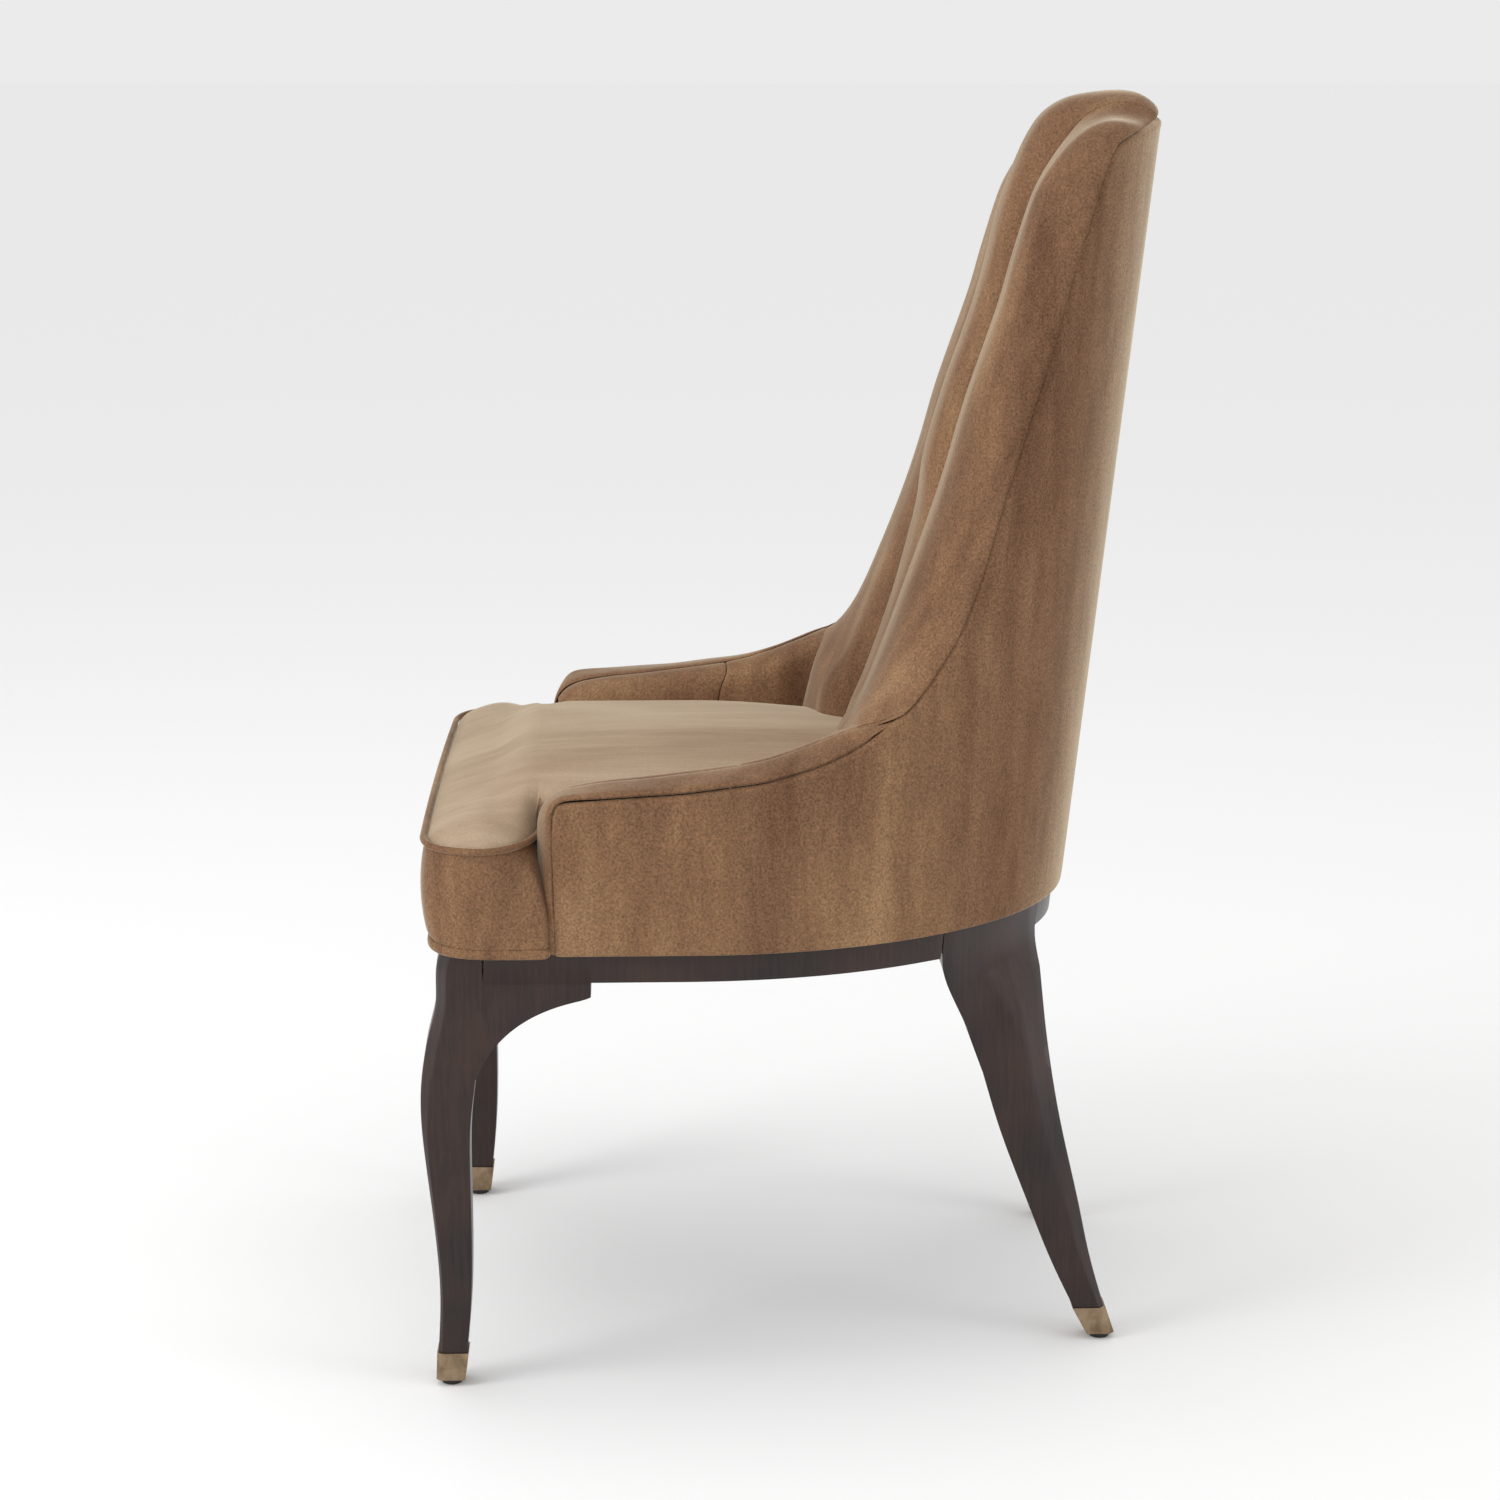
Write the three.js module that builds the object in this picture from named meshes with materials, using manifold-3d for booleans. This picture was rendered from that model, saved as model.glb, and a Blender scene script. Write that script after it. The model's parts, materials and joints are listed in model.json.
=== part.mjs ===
// An upholstered dining chair with low wrapped arms and a tall channelled back.
// Millimetres, +Z up. The chair faces -Y and +X is the sitter's left.
// Inside the group Y = 0 is the line of the front feet, and Z = 0 is the floor.
import * as THREE from "three";
import { mergeVertices } from "three/addons/utils/BufferGeometryUtils.js";
import Module from "manifold-3d";

const wasm = await Module();
wasm.setup();

// Overall sizes of the upholstered shell
const shellHalfWidth = 276;
const shellCentreY = 204; // the straight arms end here and the curved back begins
const shellDepth = 320; // from there to the rear of the shell
const backHeight = 1043;
const leanSlope = 0.109; // the back leans rearwards by this much per millimetre of height
const coverThickness = 6; // velvet on its backing board
const armFrontY = 90; // front edge of the outside cover
const armRise = 30; // from the edge of the seat to the top seam at the front of the arm
const rollRise = 15; // from the top seam at the rear centre to the top of the back

// Wood frame
const railBottom = 350; // height of the frame above the floor
const railHeight = 65;
const railExposed = 24; // wood showing under the outside cover
const railInset = 14; // wood stands back from the cover at the sides
const railRearInset = 7; // and at the rear
const railThickness = 28;
const legTopWidth = 38; // across a front leg at the rail
const frontLegRearY = 32;
const rearLegFrom = 0.445; // the side rail ends at a rear leg, as a share of the quarter turn
const rearLegMiddle = 0.6;
const rearLegTo = 0.745; // and the back rail begins
const boardThickness = 12;
const postWidth = 22;
const postDepth = 24;

// Feet
const frontFootInset = 33.4; // from the outer face of the side rail to the middle of the foot
const rearFootIn = 7; // a rear foot stands this far inside the top of its leg
const rearFootBack = 89.8; // and this far behind it
const ferruleHeight = 24;
const ferruleWall = 1.2;
const ferruleFloor = 1.5;
const glideHeight = 5;
const glideDiameter = 18;
const stemDiameter = 6;
const stemLength = 14;
const insertWall = 1.2;
const insertLength = 12;

// Seat
const seatFrontY = -14;
const edgeRise = 35.7; // from the seat board to the piping
const crownRise = 43; // from the piping to the crown of the seat
const rearRise = 35; // from the piping to the rear edge of the seat
const wingSpread = 1.5; // the front of the seat stands out past the arms by this much
const wingRearY = armFrontY - 20;
const wingOpenY = armFrontY - 40; // the cover's sides end here, in front of the side rails
const seatFabric = 3;
const weltDiameter = 5.6;
const bandHeight = 10; // of the hem band under the seat cover
const bandDrop = 1; // how far its lower edge hangs below the outside cover

// Arms and back padding
const armWidth = 45; // across the top of the arm
const armPadDepth = 81; // from the outside of the shell to the inner face of the arm's padding
const frontPanelLength = 134; // from the front of the inside arm to its upright seam
const channelSeamX = 55; // half the width of the centre channel
const channelCrestX = 112;
const grooveDepth = 11;
const boxingThickness = 9;

const gap = 0.3; // between pieces that touch
const clear = 1; // between soft pieces that lie side by side

// Heights that follow from those sizes
const railTop = railBottom + railHeight;
const shellBottom = railBottom + railExposed;
const seatDeck = railTop + gap + boardThickness;
const weltHeight = seatDeck + edgeRise;
const seatCrown = weltHeight + crownRise;
const seatRearHeight = weltHeight + rearRise;
const armSeamHeight = weltHeight + armRise;
const backSeamHeight = backHeight - rollRise;
const seamRise = backSeamHeight - armSeamHeight;
const bandBottom = shellBottom - bandDrop;
const bandTop = bandBottom + bandHeight;

// A height on the back, as a share of the rise from the arm's seam to the top seam.
const level = (share) => armSeamHeight + share * seamRise;

// Depths and widths that follow
const rearY = shellCentreY + shellDepth;
const railOuterX = shellHalfWidth - railInset;
const railInnerX = railOuterX - railThickness;
const legInnerX = railOuterX - legTopWidth;
const armPadInnerX = shellHalfWidth - armPadDepth;

// Materials
const finishes = {
  velvet: [0xa68361, 0.9, 0],
  darkWood: [0x3a2f2c, 0.35, 0],
  frameWood: [0xb9935f, 0.7, 0],
  plywood: [0xc2a06e, 0.75, 0],
  brass: [0x8c7450, 0.4, 1],
  steel: [0x9b9b98, 0.35, 1],
  plastic: [0x1d1b1a, 0.55, 0],
  foam: [0xd8cda8, 0.95, 0],
  cambric: [0x26262a, 0.95, 0],
};

const chair = new THREE.Group();

function add(name, geometry, finish, parent = chair) {
  const [color, roughness, metalness] = finishes[finish];
  const material = new THREE.MeshStandardMaterial({ color, roughness, metalness });
  const mesh = new THREE.Mesh(geometry, material);
  mesh.name = name;
  parent.add(mesh);
  return mesh;
}

// ---- Geometry helpers ----

function closedGeometry(points, faces) {
  let volume = 0;
  for (let i = 0; i < faces.length; i += 3) {
    const [a, b, c] = [points[faces[i]], points[faces[i + 1]], points[faces[i + 2]]];
    volume += a.dot(new THREE.Vector3().crossVectors(b, c));
  }
  const index = volume < 0 ? faces.slice().reverse() : faces;
  const geometry = new THREE.BufferGeometry().setFromPoints(points);
  geometry.setIndex(index);
  geometry.computeVertexNormals();
  return geometry;
}

// Triangles that close a ring, turned the way the ring itself turns.
function capOf(ring) {
  const normal = new THREE.Vector3();
  ring.forEach((p, i) => {
    normal.add(new THREE.Vector3().crossVectors(p, ring[(i + 1) % ring.length]));
  });
  normal.normalize();
  const across = new THREE.Vector3(normal.z, normal.x, normal.y).cross(normal).normalize();
  const up = new THREE.Vector3().crossVectors(normal, across);
  const flat = ring.map((p) => new THREE.Vector2(p.dot(across), p.dot(up)));
  return THREE.ShapeUtils.triangulateShape(flat, []).map(([a, b, c]) => {
    const ab = flat[b].clone().sub(flat[a]);
    const ac = flat[c].clone().sub(flat[a]);
    return ab.cross(ac) < 0 ? [a, c, b] : [a, b, c];
  });
}

// A closed solid through rings of Vector3 that all have the same number of points.
function loft(rings) {
  const size = rings[0].length;
  const last = (rings.length - 1) * size;
  const faces = [];
  for (let start = 0; start < last; start += size) {
    for (let i = 0; i < size; i++) {
      const a = start + i;
      const b = start + ((i + 1) % size);
      faces.push(a, b, b + size, a, b + size, a + size);
    }
  }
  capOf(rings[0]).forEach(([a, b, c]) => faces.push(a, c, b));
  capOf(rings[rings.length - 1]).forEach(([a, b, c]) => faces.push(last + a, last + b, last + c));
  return closedGeometry(rings.flat(), faces);
}

// The same piece for the other side of the chair.
function mirrored(geometry) {
  const copy = geometry.clone().scale(-1, 1, 1);
  copy.setIndex([...geometry.index.array].reverse());
  copy.computeVertexNormals();
  return copy;
}

function solidFrom(geometry) {
  const bare = new THREE.BufferGeometry();
  bare.setAttribute("position", geometry.getAttribute("position"));
  bare.setIndex(geometry.index);
  const merged = mergeVertices(bare, 1e-3);
  return new wasm.Manifold(
    new wasm.Mesh({
      numProp: 3,
      vertProperties: merged.attributes.position.array,
      triVerts: new Uint32Array(merged.index.array),
    }),
  );
}

function geometryFrom(solid) {
  const mesh = solid.getMesh();
  const geometry = new THREE.BufferGeometry();
  geometry.setAttribute("position", new THREE.BufferAttribute(mesh.vertProperties, 3));
  geometry.setIndex(new THREE.BufferAttribute(mesh.triVerts, 1));
  geometry.computeVertexNormals();
  return geometry;
}

function cut(geometry, ...cutters) {
  let solid = solidFrom(geometry);
  cutters.forEach((cutter) => {
    solid = solid.subtract(solidFrom(cutter));
  });
  return geometryFrom(solid);
}

function join(geometry, ...others) {
  let solid = solidFrom(geometry);
  others.forEach((other) => {
    solid = solid.add(solidFrom(other));
  });
  return geometryFrom(solid);
}

function boxBetween(x0, x1, y0, y1, z0, z1) {
  const box = new THREE.BoxGeometry(Math.abs(x1 - x0), y1 - y0, z1 - z0);
  return box.translate((x0 + x1) / 2, (y0 + y1) / 2, (z0 + z1) / 2);
}

function rod(diameter, x, y, z0, z1, sides = 16) {
  const cylinder = new THREE.CylinderGeometry(diameter / 2, diameter / 2, z1 - z0, sides);
  return cylinder.rotateX(Math.PI / 2).translate(x, y, (z0 + z1) / 2);
}

function slab(outline, z0, z1) {
  const shape = new THREE.Shape(outline.map(([x, y]) => new THREE.Vector2(x, y)));
  const geometry = new THREE.ExtrudeGeometry(shape, { depth: z1 - z0, bevelEnabled: false });
  return geometry.translate(0, 0, z0);
}

// Straight-line interpolation in a list of [key, value] pairs.
function lookUp(pairs, key) {
  const after = pairs.findIndex(([k]) => k >= key);
  if (after === 0) return pairs[0][1];
  if (after < 0) return pairs[pairs.length - 1][1];
  const [k0, v0] = pairs[after - 1];
  const [k1, v1] = pairs[after];
  return THREE.MathUtils.mapLinear(key, k0, k1, v0, v1);
}

// ---- The plan of the shell ----

const lean = (z) => leanSlope * (z - shellBottom);

// A point of the plan, inset from the cover at the sides and at the rear. Station -1 to 0 is the
// straight arm, 0 to 1 the quarter turn to the rear centre and 1 to 2 the quarter turn beyond it.
function planPoint(inset, station, rearInset = inset) {
  const halfWidth = shellHalfWidth - inset;
  if (station < 0) {
    return new THREE.Vector2(halfWidth, shellCentreY + station * (shellCentreY - armFrontY));
  }
  const angle = (station * Math.PI) / 2;
  const depth = shellDepth - rearInset;
  return new THREE.Vector2(
    halfWidth * Math.cos(angle),
    shellCentreY + depth * Math.sin(angle),
  );
}

// The same plan for the wood frame, this far inside its outer face.
const railPoint = (inside, station) => {
  return planPoint(railInset + inside, station, railRearInset + inside);
};

// The station on the quarter turn of the frame at which it reaches a depth y.
function railStation(inside, y) {
  const share = (y - shellCentreY) / (shellDepth - railRearInset - inside);
  return (Math.asin(share) * 2) / Math.PI;
}

// Half the width of the plan at a depth y that is measured without the lean.
function planHalfWidth(inset, y) {
  const share = (y - shellCentreY) / (shellDepth - inset);
  if (share <= 0) return shellHalfWidth - inset;
  return (shellHalfWidth - inset) * Math.sqrt(Math.max(0, 1 - share * share));
}

// How far back the plan reaches at x.
function planReach(inset, x) {
  const share = x / (shellHalfWidth - inset);
  return shellCentreY + (shellDepth - inset) * Math.sqrt(Math.max(0, 1 - share * share));
}

function place(side, x, y, z) {
  return new THREE.Vector3(side * x, y + lean(z), z);
}

// A bar between an outer and an inner line, each a function of the share of the bar's length, with
// its bottom and top set by the depth of the outer line.
function planBar(side, outerLine, innerLine, steps, bottom, top) {
  const rings = [];
  for (let i = 0; i <= steps; i++) {
    const out = outerLine(i / steps);
    const inn = innerLine(i / steps);
    const low = bottom(out.y);
    const high = top(out.y);
    rings.push([
      place(side, out.x, out.y, low),
      place(side, out.x, out.y, high),
      place(side, inn.x, inn.y, high),
      place(side, inn.x, inn.y, low),
    ]);
  }
  return loft(rings);
}

// The seam along the top of the outside cover, from the side of the arm to the rear centre:
// distance from the rear of the shell, share of the rise.
const seamShape = [
  [323, 0.026],
  [232, 0.062],
  [180, 0.121],
  [156, 0.174],
  [136, 0.247],
  [122, 0.35],
  [111, 0.473],
  [99, 0.583],
  [83, 0.742],
  [68, 0.875],
  [57, 0.948],
  [33, 0.972],
  [10, 0.994],
  [0, 1],
];
const seamStartY = armFrontY - 8;
const seamDepth = rearY - seamStartY;
const seam = [
  [seamStartY, armSeamHeight],
  ...seamShape.map(([distance, rise]) => [rearY - distance, level(rise)]),
];
const seamHeight = (y) => lookUp(seam, y);
const seamReach = (z) => lookUp(seam.map(([y, height]) => [height, y]), z);

// ---- The lines of the back ----

// How thick the back is at its crests, from the crest to the rear of the shell: share of the rise,
// thickness.
const backShape = [
  [-0.116, 222],
  [0.013, 220],
  [0.062, 216],
  [0.105, 203],
  [0.161, 193],
  [0.23, 183],
  [0.385, 162],
  [0.568, 144],
  [0.705, 127],
  [0.865, 111],
  [0.927, 96],
  [0.959, 82],
  [0.979, 66],
];
// How far the centre channel stands in front of the side crests.
const centreShape = [
  [-0.116, -20],
  [0.23, -10],
  [0.385, 0],
  [0.462, 8],
  [0.705, 8],
  [0.865, 12],
  [0.957, 22],
];
const shapeAt = (shape, z) => lookUp(shape, (z - armSeamHeight) / seamRise);
const crestY = (z) => rearY - shapeAt(backShape, z);
const centreY = (z) => crestY(z) - shapeAt(centreShape, z);
const padThickness = (z) => {
  return THREE.MathUtils.mapLinear(z, weltHeight, backHeight, 52, 24);
};

// ---- Outside cover ----

// One thin board-backed velvet panel that wraps round both arms and the back.
function outerCover() {
  const columns = [];
  const steps = 26;
  for (let i = 0; i <= steps; i++) {
    const share = i / steps;
    // Columns bunch up towards the back, where the plan turns faster.
    const y = seamStartY + seamDepth * Math.sin((share * Math.PI) / 2);
    columns.push(y);
  }
  const corners = (side, y) => {
    const straight = Math.max(0, 1 - (y - seamStartY) / (shellCentreY - seamStartY));
    const footY = y + (armFrontY - seamStartY) * straight;
    const headLean = lean(seamHeight(y)) * straight;
    const inside = Math.min(y, rearY - coverThickness);
    const out = planHalfWidth(0, y);
    const inn = planHalfWidth(coverThickness, inside);
    const innerY = y > shellCentreY ? inside : y;
    const high = seamHeight(y);
    const low = shellBottom;
    const shift = innerY - y;
    return [
      place(side, out, footY, low),
      place(side, out, y + (armFrontY - seamStartY) * straight - headLean, high),
      place(side, inn, y + shift + (armFrontY - seamStartY) * straight - headLean, high),
      place(side, inn, footY + shift, low),
    ];
  };
  const left = columns.map((y) => corners(1, y));
  const right = columns.slice(0, -1).map((y) => corners(-1, y));
  return loft([...left, ...right.reverse()]);
}
add("outer_cover", outerCover(), "velvet");

// ---- Legs ----

// Corner sections of a leg: its place, then [x, y] for each corner, front inner corner first.
// Place -1 is the foot, 0 the top of the ferrule, 1 the bottom of the rail and 2 its top.
// A front leg's x is measured from the outer face of the side rail.
const legTopRear = [
  [0, frontLegRearY],
  [-legTopWidth, frontLegRearY],
];
const frontLegShape = [
  [-1, [-44.4, -11], [-26, -11], [-22.4, -8], [-22.4, 10], [-44.4, 10]],
  [0, [-45, -10], [-25, -10], [-22, -7], [-22, 13], [-45, 13]],
  [0.171, [-44, -7], [-22, -7], [-19, -5], [-19, 18], [-44, 18]],
  [0.386, [-43, -12], [-18, -12], [-15, -10], [-15, 19], [-43, 19]],
  [0.601, [-41, -19], [-14, -19], [-10, -15], [-10, 19], [-41, 19]],
  [0.726, [-40, -19], [-13, -19], [-7, -11], [-7, 24], [-40, 24]],
  [0.844, [-39, -14], [-12, -13], [-3, -4], [-3, 29], [-39, 29]],
  [0.938, [-legTopWidth, -6], [-10, -5], [0, 3], ...legTopRear],
  [1.17, [-legTopWidth, -6], [-11, -5], [0, 4], ...legTopRear],
  [1.42, [-legTopWidth, 0], [-13, 0], [0, 9], ...legTopRear],
  [2, [-legTopWidth, 0], [-13, 0], [0, 9], ...legTopRear],
];
// A rear leg's corners are measured from a straight line between its foot and its top.
const rearLegShape = [
  [-1, [-11, -11], [11, -11], [11, 6], [7, 10], [-11, 10]],
  [0, [-11.5, -23], [11.5, -23], [11.5, -2], [6, 2.5], [-11.5, 2.5]],
  [0.143, [-14, -32], [12, -32], [11, -7], [2, 2], [-14, 2]],
  [0.296, [-17, -37.5], [14, -37.5], [11, -7.5], [0, 5.5], [-18, 5.5]],
  [0.527, [-23, -44], [17, -45], [12, -11], [-6, 9], [-25, 9]],
  [0.754, [-28, -43], [23, -46], [14, -5], [-15, 18], [-32, 18]],
  [0.907, [-15, -53], [37, -55], [6, -5], [-33, 28], [-49, 16]],
];
const footPlace = glideHeight + ferruleFloor + gap;
const ferruleTop = glideHeight + ferruleHeight;
const legPlace = (share) => lookUp([[-1, footPlace], [0, ferruleTop], [1, railBottom], [2, railTop]], share);

const frontLegSections = frontLegShape.map(([share, ...corners]) => ({
  z: legPlace(share),
  corners: corners.map(([x, y]) => [railOuterX + x, y]),
}));

const rearLegHead = railPoint(0, rearLegMiddle);
const rearFootX = rearLegHead.x - rearFootIn;
const rearFootY = rearLegHead.y + rearFootBack;

// The top of a rear leg lies between the side rail and the back rail and turns with the plan.
function rearLegTop(z) {
  const front = railPoint(0, rearLegFrom);
  const corners = [
    new THREE.Vector2(front.x - railThickness * 1.5, front.y),
    front,
    rearLegHead,
    railPoint(0, rearLegTo),
    railPoint(railThickness, rearLegTo),
  ];
  return { z, corners: corners.map(({ x, y }) => [x, y + lean(z)]) };
}
const rearLegSections = [
  ...rearLegShape.map(([share, ...corners]) => {
    const along = Math.max(share, 0);
    const x0 = THREE.MathUtils.lerp(rearFootX, rearLegHead.x, along);
    const y0 = THREE.MathUtils.lerp(rearFootY, rearLegHead.y, along);
    return { z: legPlace(share), corners: corners.map(([x, y]) => [x0 + x, y0 + y]) };
  }),
  rearLegTop(railBottom),
  rearLegTop(railTop),
];

// Smooth curves run from corner to corner, and the last stretch, beside the rail, is straight.
function legRings(sections, side) {
  const curves = [0, 1, 2, 3, 4].map((corner) => {
    const points = sections.map(({ z, corners }) => {
      return new THREE.Vector3(side * corners[corner][0], corners[corner][1], z);
    });
    return new THREE.CatmullRomCurve3(points, false, "centripetal");
  });
  const pieces = (sections.length - 1) * 2;
  const steps = [...Array(pieces + 1).keys()].filter((i) => i !== pieces - 1);
  const rings = [];
  for (const i of steps) {
    const ring = curves.map((curve) => curve.getPoint(i / pieces));
    const height = ring[0].z;
    ring.forEach((p) => (p.z = height));
    rings.push(ring);
  }
  return rings;
}

const frontFootX = railOuterX - frontFootInset;
const feet = [
  ["front", 1, frontFootX, 0, frontLegSections],
  ["front", -1, frontFootX, 0, frontLegSections],
  ["rear", 1, rearFootX, rearFootY, rearLegSections],
  ["rear", -1, rearFootX, rearFootY, rearLegSections],
];
const sideName = (side) => (side > 0 ? "left" : "right");
const insertDiameter = stemDiameter + 2 * insertWall;
const boreTop = footPlace + insertLength + 2;

for (const [end, side, footX, footY, sections] of feet) {
  const tag = `${end}_${sideName(side)}`;
  const centreX = side * footX;
  const bore = rod(insertDiameter + 2 * gap, centreX, footY, 0, boreTop);
  add(`${end}_leg_${sideName(side)}`, cut(loft(legRings(sections, side)), bore), "darkWood");
  add(`ferrule_${tag}`, ferrule(sections, side, footX, footY), "brass");
  const insertRod = rod(insertDiameter, centreX, footY, footPlace, footPlace + insertLength);
  const tapped = rod(stemDiameter + 2 * gap, centreX, footY, 0, boreTop);
  add(`threaded_insert_${tag}`, cut(insertRod, tapped), "brass");
  add(`glide_base_${tag}`, glideBase(centreX, footY), "plastic");
  const stemBottom = glideHeight + gap;
  const stem = rod(stemDiameter, centreX, footY, stemBottom, stemBottom + stemLength);
  add(`glide_stem_${tag}`, stem, "steel");
}

// A square metal cup round the foot of the leg, open at the top, with a hole for the glide's stem.
function ferrule(sections, side, footX, footY) {
  const [foot, above] = sections;
  const sectionAt = (z, grow) => {
    const share = (z - foot.z) / (above.z - foot.z);
    const corners = foot.corners.map(([x, y], i) => {
      const [x1, y1] = above.corners[i];
      return new THREE.Vector2(THREE.MathUtils.lerp(x, x1, share), THREE.MathUtils.lerp(y, y1, share));
    });
    const box = new THREE.Box2().setFromPoints(corners);
    const middle = box.getCenter(new THREE.Vector2());
    const size = box.getSize(new THREE.Vector2());
    const factor = (extent) => (extent + 2 * grow) / extent;
    return corners.map(({ x, y }) => {
      const wide = middle.x + (x - middle.x) * factor(size.x);
      const deep = middle.y + (y - middle.y) * factor(size.y);
      return new THREE.Vector3(side * wide, deep, z);
    });
  };
  const bodyGrow = gap + ferruleWall;
  const body = loft([sectionAt(glideHeight + gap, bodyGrow), sectionAt(ferruleTop, bodyGrow)]);
  const pocketFloor = glideHeight + ferruleFloor;
  const pocket = loft([sectionAt(pocketFloor, gap), sectionAt(ferruleTop + 5, gap)]);
  const hole = rod(stemDiameter + 2 * gap, side * footX, footY, 0, ferruleTop);
  return cut(body, pocket, hole);
}

function glideBase(x, y) {
  const r = glideDiameter / 2;
  const profile = [
    [0, 0],
    [r - 2, 0],
    [r - 0.6, 0.6],
    [r, 2],
    [r, glideHeight],
    [0, glideHeight],
  ].map(([radius, height]) => new THREE.Vector2(radius, height));
  return new THREE.LatheGeometry(profile, 20).rotateX(Math.PI / 2).translate(x, y, 0);
}

// ---- Knee blocks: the brackets behind the front legs, under the side rails ----

const kneeDrop = 82; // the bracket begins this far below the rail
const kneeEndY = 118;
const kneeEndDrop = 12; // and ends in a step of this height
function kneeBlock(side) {
  const legEdge = legRings(frontLegSections, 1).map((ring) => [ring[3].z, ring[3].y, ring[3].x]);
  const legRear = (z) => lookUp(legEdge.map(([height, y]) => [height, y]), z);
  const legOuter = (z) => lookUp(legEdge.map(([height, , x]) => [height, x]), z);
  const start = railBottom - kneeDrop;
  const end = railBottom - kneeEndDrop;
  const curve = new THREE.QuadraticBezierCurve(
    new THREE.Vector2(legRear(start) + gap, start),
    new THREE.Vector2(frontLegRearY + 14, railBottom - 26),
    new THREE.Vector2(kneeEndY - 4, end - 2),
  );
  const heights = legEdge.map(([z]) => z).filter((z) => z > start + 4 && z < railBottom - 2);
  const outline = [
    ...curve.getPoints(8),
    new THREE.Vector2(kneeEndY, end),
    new THREE.Vector2(kneeEndY, railBottom - gap),
    ...[railBottom - gap, ...heights.reverse()].map((z) => new THREE.Vector2(legRear(z) + gap, z)),
  ];
  const innerX = legInnerX + 4;
  return loft([
    outline.map(({ x, y }) => new THREE.Vector3(side * innerX, x, y)),
    outline.map(({ x, y }) => new THREE.Vector3(side * legOuter(y), x, y)),
  ]);
}

// ---- Seat frame ----

const straightStation = (y) => (y - shellCentreY) / (shellCentreY - armFrontY);
const stationGap = (2 * gap) / shellDepth;

// A rail whose outer and inner faces run between their own stations.
function rail(side, outer, inner, steps) {
  return planBar(
    side,
    (share) => railPoint(0, THREE.MathUtils.lerp(...outer, share)),
    (share) => railPoint(railThickness, THREE.MathUtils.lerp(...inner, share)),
    steps,
    () => railBottom,
    () => railTop,
  );
}
for (const side of [1, -1]) {
  const name = sideName(side);
  add(`knee_block_${name}`, kneeBlock(side), "darkWood");
  const start = straightStation(frontLegRearY + gap - lean(railBottom));
  const innerEnd = railStation(railThickness, railPoint(0, rearLegFrom).y);
  const outer = [start, rearLegFrom - stationGap];
  const inner = [start, innerEnd - stationGap];
  add(`side_rail_${name}`, rail(side, outer, inner, 24), "darkWood");
}
const backSpan = [rearLegTo + stationGap, 2 - rearLegTo - stationGap];
add("back_rail", rail(1, backSpan, backSpan, 10), "darkWood");
const frontRailX = legInnerX - gap;
const frontRailRear = 26;
const frontRail = boxBetween(-frontRailX, frontRailX, -2, frontRailRear, bandTop, railTop);
add("front_rail", frontRail, "frameWood");

// ---- Corner blocks and the screws that hold the seat board ----

const blockBottom = bandTop + clear;
const blockTop = railTop - gap;
const screwDiameter = 4.5;
const screwHead = 9;
function screwGeometry(x, y) {
  const head = screwHead / 2;
  const shank = screwDiameter / 2;
  const top = seatDeck - 2;
  const low = blockBottom - 2.5 - gap;
  const profile = [
    [0, low],
    [head, low],
    [head, low + 2.5],
    [shank, low + 2.5],
    [shank, top - 3],
    [0, top],
  ].map(([radius, height]) => new THREE.Vector2(radius, height));
  return new THREE.LatheGeometry(profile, 14).rotateX(Math.PI / 2).translate(x, y, 0);
}
const blockReach = 44; // how far a corner block stands out from the rail
const inBlock = railThickness + clear;
const rearBlockEdge = [0.18, 0.28, 0.38, 0.44].map((station) => railPoint(inBlock, station).toArray());
const blockPlans = {
  front: [
    [legInnerX - 2 * gap, frontRailRear + gap],
    [legInnerX - 2 * gap, frontLegRearY + 2 * gap],
    [railInnerX - 2 * gap, frontLegRearY + 2 * gap],
    [railInnerX - 2 * gap, frontRailRear + 66],
    [railInnerX - 68, frontRailRear + gap],
  ],
  rear: [
    ...rearBlockEdge,
    [rearBlockEdge[3][0] - blockReach, rearBlockEdge[3][1]],
    [rearBlockEdge[0][0] - blockReach, rearBlockEdge[0][1]],
  ],
};
const screwPlaces = {
  front: [legInnerX - 14, frontRailRear + 22],
  rear: railPoint(railThickness + 22, 0.28).toArray(),
};
const screwHoles = [];
for (const end of ["front", "rear"]) {
  for (const side of [1, -1]) {
    const tag = `${end}_${sideName(side)}`;
    const outline = blockPlans[end].map(([x, y]) => [side * x, y]);
    const [x, y] = screwPlaces[end];
    const hole = rod(screwDiameter + 2 * gap, side * x, y, blockBottom - 5, seatDeck - 1.5);
    screwHoles.push(hole);
    add(`corner_block_${tag}`, cut(slab(outline, blockBottom, blockTop), hole), "frameWood");
    add(`seat_screw_${tag}`, screwGeometry(side * x, y), "steel");
  }
}

// An outline and its mirror image, from the front left to the front right.
const mirrorPlan = (half) => [...half, ...half.map(([x, y]) => [-x, y]).reverse()];

const boardInset = railInset + postWidth + 2 * clear;
const boardStations = [0, 0.15, 0.3, 0.45, 0.58];
const boardPlan = mirrorPlan([
  [shellHalfWidth - boardInset, 2],
  ...boardStations.map((station) => planPoint(boardInset, station).toArray()),
]);
const board = slab(boardPlan, railTop + gap, seatDeck);
add("seat_board", cut(board, ...screwHoles), "plywood");

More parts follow.
